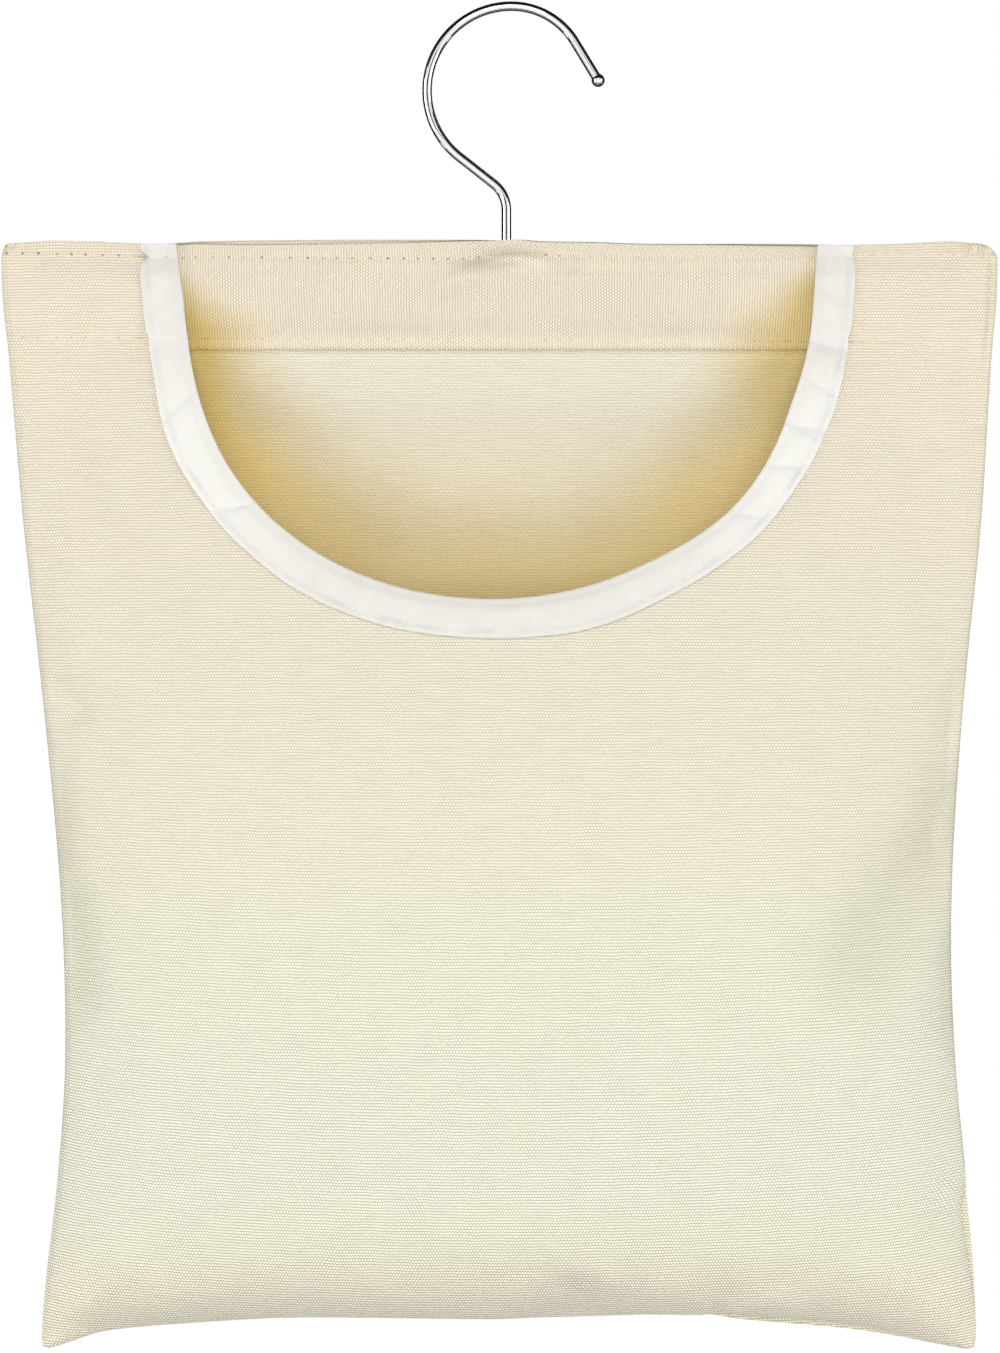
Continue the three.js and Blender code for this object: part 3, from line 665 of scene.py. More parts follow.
BACK_TOP_ROWS = 0.08  # of the back's rows, which are crowded into its top edge
BACK_TOP_FALL = 7.0
BACK_COLUMNS = 190
BACK_ROWS = 210
BACK_CROWDING = 1.15  # above 1, its rows lie closer near the bottom seam
BACK_SIDE_CROWDING = 0.35  # the share of its columns' places that crowds to the sides


def lay_back(column, row):
    across = lerp(column * 2 - 1, math.sin((column - 0.5) * math.pi), BACK_SIDE_CROWDING)
    bottom = bottom_fall(across)
    if row < BACK_TOP_ROWS:
        fall = BACK_TOP_FALL * row / BACK_TOP_ROWS
    else:
        down = 1 - (1 - (row - BACK_TOP_ROWS) / (1 - BACK_TOP_ROWS)) ** BACK_CROWDING
        fall = lerp(BACK_TOP_FALL, bottom, down)
    x = x_at(across, fall)
    # Painted shadow where the facing's lip meets the back, and a painted dark outline along the
    # very top
    painted_lip_shadow = bump_at(fall, peek(x), 0.5) + 0.5 * bump_at(fall, 0, 0.3)
    # Painted ochre shade on the strip of back panel beside the front's lower right seam
    seam_strip = 0.08 * smooth((6 - (right_seam(fall) - x)) / 2) * smooth((fall - 300) / 12)
    strip = right_strip(x, fall)
    laid_x = min(x + strip * 1.5, right_seam(fall))
    place = (x, back_depth(laid_x, fall), raised(x, fall, 0.0))
    shade = inner_shade(x, fall)
    # Painted shade that darkens the inside's upper corners
    high = 0.26 * shade * smooth((78 - fall) / 40)
    edge = max(painted_lip_shadow, 0.5 * seam_line(x, fall), high)
    # Painted light inside the bag: more towards its foot, beside the rim and in the lit middle
    beside = smooth((rim_share(x, fall) - 0.86) / 0.12) * smooth((fall - 68) / 25)
    lift = 1 + 0.35 * smooth((fall - 55) / 25) + 1.2 * beside + 1.7 * smooth((fall - 92) / 20)
    lift += 0.8 * lit_middle(x, fall) * smooth((fall - 62) / 30)
    lift *= between(fall, SLEEVE_DEPTH, 2, MOUTH_DEPTH + 24, 16)
    return place, weave_place(x, fall), (max(shade, seam_strip), edge, lift)


HEM_TURN = 0.9  # of the facing's rows, where its hem turns under
FACING_SCALE = 1.06  # its cloth is cut crosswise, and its yarns lie a little closer
FACING_COLUMNS = 330
FACING_ROWS = 90


def lay_facing(column, row):
    across = (column * 2 - 1) * (1 - 1 / HALF_BAG)
    edge_fall = SLEEVE_DEPTH + FACING_HEM
    if row < HEM_TURN:
        fall = edge_fall * row / HEM_TURN
        back = 0.0
    else:
        turned = (row - HEM_TURN) / (1 - HEM_TURN)
        fall = edge_fall - HEM_FOLDED * turned
        back = 0.25 * smooth(turned * 3)
    lift = 0.15 * smooth((fall - SLEEVE_DEPTH + 3) / 3)
    x = x_at(across, fall)
    depth = facing_depth(x, fall) + lift - back
    flat = edge_fall * row / HEM_TURN * FACING_SCALE
    place = (x, -depth, raised(x, fall, peek(x)))
    threads = (flat * MM, across * HALF_BAG * FACING_SCALE * MM)
    # Painted shadow under the cloth that the shank gathers, a painted shade line along its crease,
    # the inside's painted shade, a painted shade line at the hem, and a faint even darkening
    painted_tent_shadow = 0.3 * bump_at(x, -8, 10) * bump_at(fall, 7.8, 3)
    at_shank = between(x, -15, 4, 12, 4)
    painted_crease_line = 0.2 * bump_at(fall, upper_row(x) + 0.1, 0.5) * at_shank
    shade = inner_shade(x, fall)
    hem = bump_at(row, HEM_TURN, 0.012)
    edge = max(painted_tent_shadow, painted_crease_line, 0.4 * shade, 0.1 * hem, 0.045)
    # Painted highlight on the strip under the upper row and above the hem
    painted_ridge_highlight = 0.75 * bump_at(fall, upper_row(x) + 2.8, 3.2)
    painted_ridge_highlight += 0.5 * bump_at(fall, edge_fall - 2.4, 2.0)
    return place, threads, (max(shade, 0.22 * hem), edge, painted_ridge_highlight * (1 - painted_tent_shadow * 2))


# The tape's section: distance from the fold outwards and depth before the canvas's middle
TAPE_OFFSET = (CANVAS + TAPE) / 2 + 0.12
TAPE_STITCH = 2.3  # from the tape's outer edge to its row of stitches
TAPE_TURN = 1.1  # from the fold, where the tape starts to turn round the canvas's edge
TAPE_FRONT_ROWS = 0.62  # of the tape's rows, up to where its front ends
TAPE_FOLD_ROWS = 0.74  # and up to where its fold ends
TAPE_BACK_SHORT = 0.6  # the back half is this much narrower
LEVEL_FADE = 36.0  # of fall under the sleeve, over which the tape leaves the level direction


def beside_mouth(share, distance):
    """x and fall of a place at a distance from the mouth's edge."""
    x, fall = mouth_edge(share)
    step = 0.0005
    x0, fall0 = mouth_edge(max(share - step, 0))
    x1, fall1 = mouth_edge(min(share + step, 1))
    square = Vector((fall0 - fall1, x1 - x0)).normalized()
    if square.y < 0:
        square.negate()
    level = Vector((-1 if share < 0.5 else 1, 0))
    way = level.lerp(square, smooth((fall - SLEEVE_DEPTH) / LEVEL_FADE)).normalized()
    return x + way.x * distance, fall + way.y * distance


def even_shares(edge, count):
    """Shares of an edge that lie evenly along its length."""
    fine = 4000
    places = [Vector(edge(i / fine)) for i in range(fine + 1)]
    lengths = [0.0]
    for before, after in zip(places, places[1:]):
        lengths.append(lengths[-1] + (after - before).length)
    shares, i = [], 0
    for n in range(count + 1):
        while i < fine - 1 and lengths[i + 1] < lengths[-1] * n / count:
            i += 1
        part = (lengths[-1] * n / count - lengths[i]) / (lengths[i + 1] - lengths[i])
        shares.append((i + part) / fine)
    return shares, lengths[-1]


TAPE_COLUMNS = 560
TAPE_ROWS = 30
tape_shares, mouth_length = even_shares(mouth_edge, TAPE_COLUMNS)


# Creases across the tape: share of the mouth's edge, slant, width and height
TAPE_WRINKLES = [
    (0.06, 0.3, 1.6, -0.25),
    (0.151, 0.5, 1.5, -0.6),
    (0.249, -0.5, 1.4, -0.6),
    (0.34, 0.4, 2.5, -0.25),
    (0.672, -0.8, 2.0, -0.3),
    (0.74, 0.6, 2.0, -0.35),
    (0.793, 0.5, 1.3, -0.5),
    (0.828, 0.05, 1.5, -1.1),
    (0.866, -0.4, 1.2, -0.5),
    (0.901, -0.25, 1.4, -1.1),
    (0.947, -0.5, 1.5, -0.5),
]


def tape_creases(along, distance, width, sharpness=1.0):
    """The sum of the creases across the tape at a place."""
    total = 0.0
    for share, slant, crease_width, height in TAPE_WRINKLES:
        offset = along - share * mouth_length - slant * (distance - width / 2)
        total += height * math.exp(-abs(offset) / crease_width * sharpness)
    return total


def tape_relief(along, distance, width):
    """The tape's own shape: a groove along its stitches, puffed edges, wrinkles and dents. It never
    sinks into the cloth under it."""
    from_edge = width - distance
    dimples = 0.5 + 0.5 * math.cos(2 * math.pi * along / STITCH_PITCH)
    groove = -0.3 * bump_at(from_edge, TAPE_STITCH, 0.75) * (0.55 + 0.45 * dimples)
    puff = 0.2 * bump_at(from_edge, TAPE_STITCH / 2, 0.8) + 0.5 * bump_at(distance, 6, 4)
    dents = wander(along / 12, distance / 14, 2.0) * 0.22
    ripple = wander(along / 3.2, 7.0, 0) * 0.2 * bump_at(from_edge, 0, 2.5)
    loose = 0.6 + groove + puff + ripple + dents + 1.6 * tape_creases(along, distance, width)
    edges = smooth((distance - TAPE_TURN) / 3) * lerp(0.4, 1, smooth(from_edge / 1.8))
    return max(loose, 0.0) * edges


def lay_tape(column, row):
    share = tape_shares[round(column * TAPE_COLUMNS)]
    along = column * mouth_length
    width = TAPE_WIDTH * tape_spread(share)
    waver = wander(along / 16, 11.0, 0) * 0.4
    edge_fall = beside_mouth(share, width)[1]
    notch = 2.3 if column < 0.5 else 0.6
    waver -= notch * bump_at(edge_fall, 5.2, 2.0) + 0.5 * bump_at(edge_fall, 32, 1.6)
    in_front = row < TAPE_FRONT_ROWS
    if in_front:
        distance = lerp(width + waver, TAPE_TURN, row / TAPE_FRONT_ROWS)
        offset = TAPE_OFFSET + tape_relief(along, distance, width)
    elif row < TAPE_FOLD_ROWS:
        turned = (row - TAPE_FRONT_ROWS) / (TAPE_FOLD_ROWS - TAPE_FRONT_ROWS) * math.pi
        distance = TAPE_TURN - TAPE_OFFSET * math.sin(turned)
        offset = TAPE_OFFSET * math.cos(turned)
    else:
        share_back = (row - TAPE_FOLD_ROWS) / (1 - TAPE_FOLD_ROWS)
        distance = lerp(TAPE_TURN, TAPE_WIDTH - TAPE_BACK_SHORT, share_back)
        offset = -TAPE_OFFSET
    x, fall = beside_mouth(share, distance)
    place = (x, -front_depth(x, max(fall, 0)) - offset, raised(x, fall, peek(x) * 0.6))
    # Painted shade along the stitch groove, patchy, and in the creases; painted light at middle
    # heights
    groove_shade_patchiness = 0.35 + 1.1 * wander(along / 9, 21.0, 0)
    shade = bump_at(width - distance, TAPE_STITCH, 0.9) * max(groove_shade_patchiness, 0) if in_front else 0
    shade = max(shade, min(-0.7 * tape_creases(along, distance, width, 1.6), 1))
    lift = bump_at(fall, 72, 34)
    return place, (along * MM, row * 2 * TAPE_WIDTH * MM), (shade, 0, lift)


# Finishes

MIX_A, MIX_B, MIX_RESULT = 6, 7, 2


def linear(code):
    """A linear colour from an sRGB hex value."""
    values = [int(code[i : i + 2], 16) / 255 for i in (1, 3, 5)]
    return [v / 12.92 if v <= 0.04045 else ((v + 0.055) / 1.055) ** 2.4 for v in values] + [1.0]


def add(tree, kind, inputs=None, output=0, **settings):
    """Adds a node, sets its properties and sockets, and gives one of its outputs."""
    node = tree.nodes.new("ShaderNode" + kind)
    for name, value in settings.items():
        setattr(node, name, value)
    for key, value in (inputs or {}).items():
        if isinstance(value, bpy.types.NodeSocket):
            tree.links.new(value, node.inputs[key])
        else:
            node.inputs[key].default_value = value
    return node.outputs[output]


def maths(tree, operation, *values):
    return add(tree, "Math", dict(enumerate(values)), operation=operation)


def ranged(tree, value, low, high, first=0.0, last=1.0):
    """first where the value is low or less, last where it is high or more."""
    return add(tree, "MapRange", {0: value, 1: low, 2: high, 3: first, 4: last})


def noisy(tree, place, scale, detail):
    return add(tree, "TexNoise", {"Vector": place, "Scale": scale, "Detail": detail})


def parts_of(tree, vector):
    return add(tree, "SeparateXYZ", {0: vector}).node.outputs


def stored(tree, name, output=1):
    """An attribute of the mesh, as a vector or with output 2 as a number."""
    return add(tree, "Attribute", output=output, attribute_name=name)


def object_place(tree):
    return add(tree, "TexCoord", output=3)


def tinted(tree, colour, factor):
    return add(tree, "VectorMath", {0: colour, 1: factor}, operation="MULTIPLY")


def mixed(tree, share, first, second):
    """A colour between two, each a socket or a hex value."""
    first, second = [linear(c) if isinstance(c, str) else c for c in (first, second)]
    inputs = {0: share, MIX_A: first, MIX_B: second}
    return add(tree, "Mix", inputs, output=MIX_RESULT, data_type="RGBA")


def new_material(name, sockets):
    """A material, its node tree and its shader, some of whose sockets are set."""
    material = bpy.data.materials.new(name)
    material.use_nodes = True
    shader = material.node_tree.nodes["Principled BSDF"]
    for socket, value in sockets.items():
        shader.inputs[socket].default_value = value
    return material, material.node_tree, shader


def weave_height(tree, u, v, uv):
    """Height of a plain weave, from 0 in its pits to 1 on its yarns. u and v are in metres."""
    shear = noisy(tree, uv, 42.0, 1.0)
    row = maths(tree, "MULTIPLY", v, 1 / (WEFT_PITCH * MM))
    index = maths(tree, "FLOOR", row)
    turn = maths(tree, "MULTIPLY", row, math.pi)
    wave = maths(tree, "SINE", turn)
    ridge = maths(tree, "ABSOLUTE", wave)
    ridge = maths(tree, "POWER", ridge, 0.75)
    warp = maths(tree, "MULTIPLY", u, 2 * math.pi / (WARP_PITCH * MM))
    warp = maths(tree, "MULTIPLY_ADD", shear, 30.0, warp)
    shifted = maths(tree, "MULTIPLY_ADD", index, math.pi, warp)
    crossing = maths(tree, "COSINE", shifted)
    patch = noisy(tree, uv, 75.0, 2.0)
    reach = ranged(tree, patch, 0.35, 0.65, 0.22, 0.36)
    depth = maths(tree, "MULTIPLY_ADD", crossing, reach, 0.7)
    return maths(tree, "MULTIPLY", ridge, depth)


def needle_hole_shade(tree, row, size, strength):
    """Painted hole shade along row 1 or 2 of the needles attribute, each of its own strength."""
    place = parts_of(tree, stored(tree, "needles"))
    index = maths(tree, "ROUND", place[0])
    aside = maths(tree, "SUBTRACT", place[0], index)
    aside = maths(tree, "MULTIPLY", aside, STITCH_PITCH * MM)
    off = add(tree, "CombineXYZ", {0: aside, 1: place[row]})
    distance = add(tree, "VectorMath", {0: off}, output=1, operation="LENGTH")
    hole = ranged(tree, distance, size * 0.45 * MM, size * MM, 1.0, 0.0)
    shown = stored(tree, "pricks", 2)
    chance = add(tree, "TexWhiteNoise", {"W": index}, noise_dimensions="1D")
    weight = ranged(tree, chance, 0.0, 1.0, strength * 0.4, strength)
    weight = maths(tree, "MULTIPLY", weight, shown)
    return maths(tree, "MULTIPLY", hole, weight)


def height_at(fall):
    return (CLOTH_TOP - fall) * MM


def canvas_material():
    """Unbleached cotton duck: cream, matt and slightly slubby, with small rounded yarns."""
    sockets = {"Roughness": 0.88, "Specular IOR Level": 0.25, "Sheen Weight": 0.1}
    sockets["Sheen Roughness"] = 0.5
    material, tree, shader = new_material("unbleached_cotton_duck", sockets)
    uv = add(tree, "UVMap", uv_map="weave")
    drift = noisy(tree, uv, 110.0, 2.0)
    u, v = parts_of(tree, uv)[:2]
    v = maths(tree, "MULTIPLY_ADD", drift, 0.9 * MM, v)
    height = weave_height(tree, u, v, uv)

    along = maths(tree, "MULTIPLY", u, 70.0)
    down = maths(tree, "MULTIPLY", v, 1000.0)
    yarns = add(tree, "CombineXYZ", {0: along, 1: down})
    slub = noisy(tree, yarns, 1.0, 2.0)
    mottle = noisy(tree, uv, 16.0, 3.0)
    grain = noisy(tree, uv, 900.0, 2.0)

    up = parts_of(tree, object_place(tree))[2]
    low_share = ranged(tree, up, height_at(20), height_at(265))
    facing_in = parts_of(tree, add(tree, "TexCoord", output=1))[1]
    inner = maths(tree, "LESS_THAN", facing_in, 0.0)
    shade, painted_edge_shade, painted_inside_light = parts_of(tree, stored(tree, "painted_light_and_shade"))
    # Painted light inside the bag: it also gives the inner faces the paler foot colours
    lift = maths(tree, "MULTIPLY", inner, painted_inside_light)
    behind = ranged(tree, lift, 0.8, 1.0, 0.0, 0.45)
    low_share = maths(tree, "MAXIMUM", low_share, behind)
    foot = ranged(tree, up, height_at(310), height_at(362), 1.0, 0.45)
    low_share = maths(tree, "MULTIPLY", low_share, foot)
    yarn = mixed(tree, low_share, YARN_TOP, YARN_LOW)
    # The pits' darker colour is painted shade between the yarns
    pit = mixed(tree, low_share, PAINTED_SHADE_PIT_TOP, PAINTED_SHADE_PIT_LOW)
    strong = ranged(tree, up, height_at(185), height_at(290), 1.0, 1.85)
    quiet = maths(tree, "MINIMUM", lift, 1.0)
    quiet = maths(tree, "MULTIPLY_ADD", quiet, -0.25, 1.0)
    strong = maths(tree, "MULTIPLY", strong, quiet)
    shown = ranged(tree, height, 0.12, 0.94, -0.47, 0.62)
    shown = maths(tree, "MULTIPLY_ADD", shown, strong, 0.5)
    colour = mixed(tree, shown, pit, yarn)
    colour.node.clamp_factor = False  # a share past 0 or 1 makes the weave stand out more
    slub_tone = ranged(tree, slub, 0.25, 0.75, 0.965, 1.03)
    mottle_tone = ranged(tree, mottle, 0.3, 0.7, 0.994, 1.004)
    grain_tone = ranged(tree, grain, 0.3, 0.7, 0.95, 1.04)
    tone = maths(tree, "MULTIPLY", slub_tone, mottle_tone)
    tone = maths(tree, "MULTIPLY", tone, grain_tone)
    speck = ranged(tree, grain, 0.2, 0.27, 0.8, 1.0)
    tone = maths(tree, "MULTIPLY", tone, speck)
    colour = tinted(tree, colour, tone)

    # Painted light inside the bag brightens its inner faces
    brightened_by_painted_light = tinted(tree, colour, PAINTED_INSIDE_LIGHT)
    colour = mixed(tree, lift, colour, brightened_by_painted_light)
    colour.node.clamp_factor = False
    # Painted shade of the bag's inside, tinted ochre
    shaded = maths(tree, "MULTIPLY", inner, shade)
    painted_shade_colour = tinted(tree, colour, PAINTED_SHADE_OCHRE)
    colour = mixed(tree, shaded, colour, painted_shade_colour)
    # Painted shade at seams, in folds, under the lip and on the facing
    edge = tinted(tree, colour, linear(EDGE_SHADE)[:3])
    painted_edge_share = maths(tree, "MULTIPLY", inner, painted_edge_shade)
    colour = mixed(tree, painted_edge_share, colour, edge)

    # Painted shade in the needle holes
    upper = needle_hole_shade(tree, 1, 0.56, 0.9)
    lower = needle_hole_shade(tree, 2, 0.5, 0.4)
    colour = mixed(tree, lower, colour, "#8d7446")
    colour = mixed(tree, upper, colour, "#4a3d2c")
    pricks = maths(tree, "MAXIMUM", upper, lower)
    relief = maths(tree, "MULTIPLY_ADD", pricks, -1.6, height)
    bump = add(tree, "Bump", {"Height": relief, "Distance": 0.16 * MM, "Strength": 0.8})

    tree.links.new(colour, shader.inputs["Base Color"])
    tree.links.new(bump, shader.inputs["Normal"])
    return material


def tape_material():
    """White cotton bias tape: a fine smooth twill with a faint silky sheen."""
    sockets = {"Roughness": 0.6, "Sheen Weight": 0.15}
    material, tree, shader = new_material("white_cotton_bias_tape", sockets)
    uv = add(tree, "UVMap", uv_map="weave")
    slant = maths(tree, "ADD", *parts_of(tree, uv)[:2])
    turn = maths(tree, "MULTIPLY", slant, 2 * math.pi / (TWILL_PITCH * MM))
    twill = maths(tree, "SINE", turn)
    mottle = noisy(tree, uv, 160.0, 2.0)
    tone = ranged(tree, mottle, 0.3, 0.7)
    colour = mixed(tree, tone, "#dddad4", "#e3e0da")
    # Painted light at the tape's middle heights, and painted shade in its stitch groove and creases
    groove, _, lit = parts_of(tree, stored(tree, "painted_light_and_shade"))
    colour = mixed(tree, lit, colour, "#edebe5")
    colour = mixed(tree, maths(tree, "MULTIPLY", groove, 0.5), colour, "#b8b6ba")
    rib = ranged(tree, twill, -1.0, 1.0, 0.06, 0.0)
    colour = mixed(tree, rib, colour, "#c9c8c6")
    colour = mixed(tree, needle_hole_shade(tree, 1, 0.6, 0.8), colour, "#5d5a56")
    bump = add(tree, "Bump", {"Height": twill, "Distance": 0.03 * MM, "Strength": 0.5})
    tree.links.new(colour, shader.inputs["Base Color"])
    tree.links.new(bump, shader.inputs["Normal"])
    return material


def thread_material(name, light, dark):
    """Spun polyester thread, with a fine diagonal twist of lighter and darker plies."""
    material, tree, shader = new_material(name, {"Roughness": 0.7})
    plies = {"Vector": object_place(tree), "Scale": 1 / (2.4 * MM), "Distortion": 0.4}
    twist = add(tree, "TexWave", plies, output=1, bands_direction="DIAGONAL")
    colour = mixed(tree, twist, dark, light)
    # Painted shade of the bag's inside, where the thread crosses it
    painted_shade_colour = tinted(tree, colour, linear("#b79a5c")[:3])
    shaded = mixed(tree, stored(tree, "painted_light_and_shade", 2), colour, painted_shade_colour)
    tree.links.new(shaded, shader.inputs["Base Color"])
    return material


def metal_material(name, colour, texture, scale, limits, roughness):
    """Bare or plated metal, whose roughness varies with a fine texture."""
    sockets = {"Base Color": linear(colour), "Metallic": 1.0}
    material, tree, shader = new_material(name, sockets)
    marks = add(tree, texture, {"Vector": object_place(tree), "Scale": scale})
    rough = ranged(tree, marks, *limits, *roughness)
    tree.links.new(rough, shader.inputs["Roughness"])
    return material


def beech_material():
    """Planed beech: pale pinkish brown, with fine lengthwise grain and short dark flecks."""
    material, tree, shader = new_material("planed_beech", {"Roughness": 0.62})
    place = object_place(tree)
    along = add(tree, "Mapping", {"Vector": place, "Scale": (8.0, 160.0, 160.0)})
    grain = noisy(tree, along, 1.0, 4.0)
    stretched = add(tree, "Mapping", {"Vector": place, "Scale": (90.0, 900.0, 900.0)})
    flecks = noisy(tree, stretched, 1.0, 1.0)
    fleck = ranged(tree, flecks, 0.62, 0.75, 0.0, 0.5)
    colour = mixed(tree, fleck, mixed(tree, grain, "#c39a6b", "#dcb98c"), "#8d6239")
    tree.links.new(colour, shader.inputs["Base Color"])
    return material


# Thread

THREAD = 0.5
TACK_THREAD = 0.55
KNOT_THREAD = 0.6
TACK_STITCHES = 19
TACK_ENDS = (150.5, 158.8)  # x of its first and last stitch
SIDE_STITCHES = (9.2, 12.6, 16.4)  # falls of the stitches along the side under it
SIDE_STITCH = 2.4  # length of each
KNOT_TURNS = 5


def stitches(name, pairs, thread=THREAD, shaded=False):
    """A short rounded bar of thread between each pair of needle holes."""
    rows = bmesh.new()
    painted_light_and_shade = rows.verts.layers.float.new("painted_light_and_shade")
    for before, after in pairs:
        way = after - before
        made = bmesh.ops.create_uvsphere(rows, u_segments=8, v_segments=6, radius=0.5)
        stretch = Matrix.Diagonal((thread * MM, thread * 0.8 * MM, way.length, 1))
        turn = way.to_track_quat("Z", "Y").to_matrix().to_4x4()
        middle = Matrix.Translation((before + after) / 2)
        bmesh.ops.transform(rows, matrix=middle @ turn @ stretch, verts=made["verts"])
        # Painted shade of the bag's inside, stored for the thread's finish
        if shaded:
            place = (before + after) / 2 / MM
            for vert in made["verts"]:
                vert[painted_light_and_shade] = inner_shade(place.x, CLOTH_TOP - place.z)
    for face in rows.faces:
        face.smooth = True
    return piece_from(name, rows)


def row_pairs(places, share=0.78):
    """Needle holes of the stitches along a row, each stitch a share of its step."""
    pairs = []
    for before, after in zip(places, places[1:]):
        pairs.append((after.lerp(before, (1 + share) / 2), before.lerp(after, (1 + share) / 2)))
    return pairs


def outermost(x, fall, over_tape=True):
    """Depth of the front face of whatever lies outermost in the sleeve."""
    squared = max(1 - (fall / MOUTH_DEPTH) ** MOUTH_POWER, 0)
    from_edge = abs(x - MOUTH_X) - HALF_MOUTH * math.sqrt(squared)
    panel = front_depth(x, fall) + CANVAS / 2
    if from_edge > TAPE_WIDTH:
        return panel
    if from_edge > 0:
        return panel + TAPE + 0.6 if over_tape else panel - 0.2
    return facing_depth(x, fall) + CANVAS / 2


def level_row(row, over_tape):
    """Needle places along a row across the sleeve."""
    first = math.ceil((left_seam(20) + 7) / STITCH_PITCH)
    last = math.floor((right_seam(20) - 8) / STITCH_PITCH)
    places = []
    for n in range(first, last + 1):
        x = n * STITCH_PITCH
        for _ in range(3):
            x += n * STITCH_PITCH - needle_place(x, 0).x * STITCH_PITCH
        fall = row(x)
        places.append(point(x, -outermost(x, fall, over_tape) - 0.05, fall))
    return places


def tape_row():
    """Needle places along the tape's outer edge."""
    count = round(mouth_length / STITCH_PITCH)
    places = []
    for n in range(1, count):
        share = tape_shares[round(n / count * TAPE_COLUMNS)]
        along = n / count * mouth_length
        width = TAPE_WIDTH * tape_spread(share)
        distance = width - TAPE_STITCH
        x, fall = beside_mouth(share, distance)
        offset = TAPE_OFFSET + TAPE / 2 + tape_relief(along, distance, width)
        places.append(point(x, -front_depth(x, fall) - offset, fall))
    return places


def rounded_top(x):
    """The fall of the top edge at the rounded right corner."""
    fall = 0.0
    while right_seam(fall) < x and fall < 6:
        fall += 0.1
    return fall


def corner_tack():
    """The dense stitches that close the top right corner, and three along the side under them."""
    pairs = []
    for n in range(TACK_STITCHES):
        share = n / (TACK_STITCHES - 1)
        x = lerp(*TACK_ENDS, share)
        top = 0.5 + rounded_top(x)
        reach = 3.4 + 2.2 * wander(n * 1.7, 0.3, 0.8) + 1.6 * (1 - share)
        lean = 1.5 * wander(n * 1.3, 4.0, 0.2)
        depth = -outermost(x, 3) - 0.12
        pairs.append((point(x, depth, top), point(x + lean, depth, top + reach)))
    for fall in SIDE_STITCHES:
        x = right_seam(fall) - 2.6
        depth = -outermost(x, fall) - 0.05
        pairs.append((point(x, depth, fall), point(x, depth, fall + SIDE_STITCH)))
    return pairs


def corner_knot():
    """Turns of thread that fasten off the top left corner."""
    pairs = []
    for n in range(KNOT_TURNS):
        x = lerp(left_seam(0) - 0.2, left_seam(0) + 1.6, n / (KNOT_TURNS - 1))
        depth = -outermost(x + 2, 2) - 0.1
        pairs.append((point(x, depth, 0.3), point(x + 0.5, depth, 2.0)))
    return pairs


# The wire

WIRE = 3.2
CROOK = 28.0
NOSE = 24.5
NOSE_LENGTH = 15.0
NOSE_LEAN = math.radians(31.3)
SLOPE_LEAN = math.radians(38.1)
NECK = 11.0
BALL_RADIUS = 2.2
HEAD_RADIUS = 2.4
HEAD_GAP = 0.3  # under the washer


def arc(centre, radius, start, end, steps):
    """Points of a flat arc, its ends included."""
    turns = [lerp(start, end, n / steps) for n in range(steps + 1)]
    return [centre + Vector((math.cos(t), 0, math.sin(t))) * radius for t in turns]


def wire_line():
    """The middle of the wire, from its free end over the crown and down to the peened end."""
    crown = Vector((0, 0, WIRE / 2))
    nose = arc(crown - Vector((0, 0, NOSE)), NOSE, NOSE_LEAN, math.pi / 2, 48)
    crook_end = 1.5 * math.pi - SLOPE_LEAN
    crook = arc(crown - Vector((0, 0, CROOK)), CROOK, math.pi / 2, crook_end, 110)
    tip = nose[0] + Vector((math.sin(NOSE_LEAN), 0, -math.cos(NOSE_LEAN))) * NOSE_LENGTH
    turn = math.pi / 2 - SLOPE_LEAN
    neck_x = SHANK_X - NECK
    slope_x = neck_x + NECK * math.cos(turn)
    slope_z = crook[-1].z - (slope_x - crook[-1].x) * math.tan(SLOPE_LEAN)
    neck = arc(Vector((neck_x, 0, slope_z - NECK * math.sin(turn))), NECK, turn, 0, 32)
    foot = Vector((SHANK_X, 0, wire_low.z))
    return [tip] + nose + crook[1:] + neck + [foot]


def wire_hook():
    """The bent wire with the ball on its free end and the peened head under the washer."""
    line = wire_line()
    curve = bpy.data.curves.new("wire", "CURVE")
    curve.dimensions = "3D"
    curve.bevel_depth = WIRE / 2 * MM
    curve.bevel_resolution = 8
    curve.use_fill_caps = True
    spline = curve.splines.new("POLY")
    spline.points.add(len(line) - 1)
    for spline_point, place in zip(spline.points, line):
        spline_point.co = (*(place * MM), 1)
    drawn = link("wire", curve)
    depsgraph = bpy.context.evaluated_depsgraph_get()
    wire = bmesh.new()
    wire.from_mesh(bpy.data.meshes.new_from_object(drawn.evaluated_get(depsgraph)))
    bpy.data.objects.remove(drawn)

    ball = bmesh.ops.create_uvsphere(wire, u_segments=32, v_segments=20, radius=BALL_RADIUS * MM)
    bmesh.ops.translate(wire, vec=line[0] * MM, verts=ball["verts"])
    head_height = washer_low.z - HEAD_GAP - wire_low.z
    head = bmesh.ops.create_cone(wire, cap_ends=True, segments=32, radius1=WIRE / 2 * MM,
                                 radius2=HEAD_RADIUS * MM, depth=head_height * MM)
    middle = Vector((SHANK_X, 0, wire_low.z + head_height / 2)) * MM
    bmesh.ops.translate(wire, vec=middle, verts=head["verts"])
    for face in wire.faces:
        face.smooth = True
    hook = piece_from("bent_wire_hook", wire)
    hook.data.set_sharp_from_angle(angle=WIRE_SHARP_ANGLE)
    return hook


# Studio

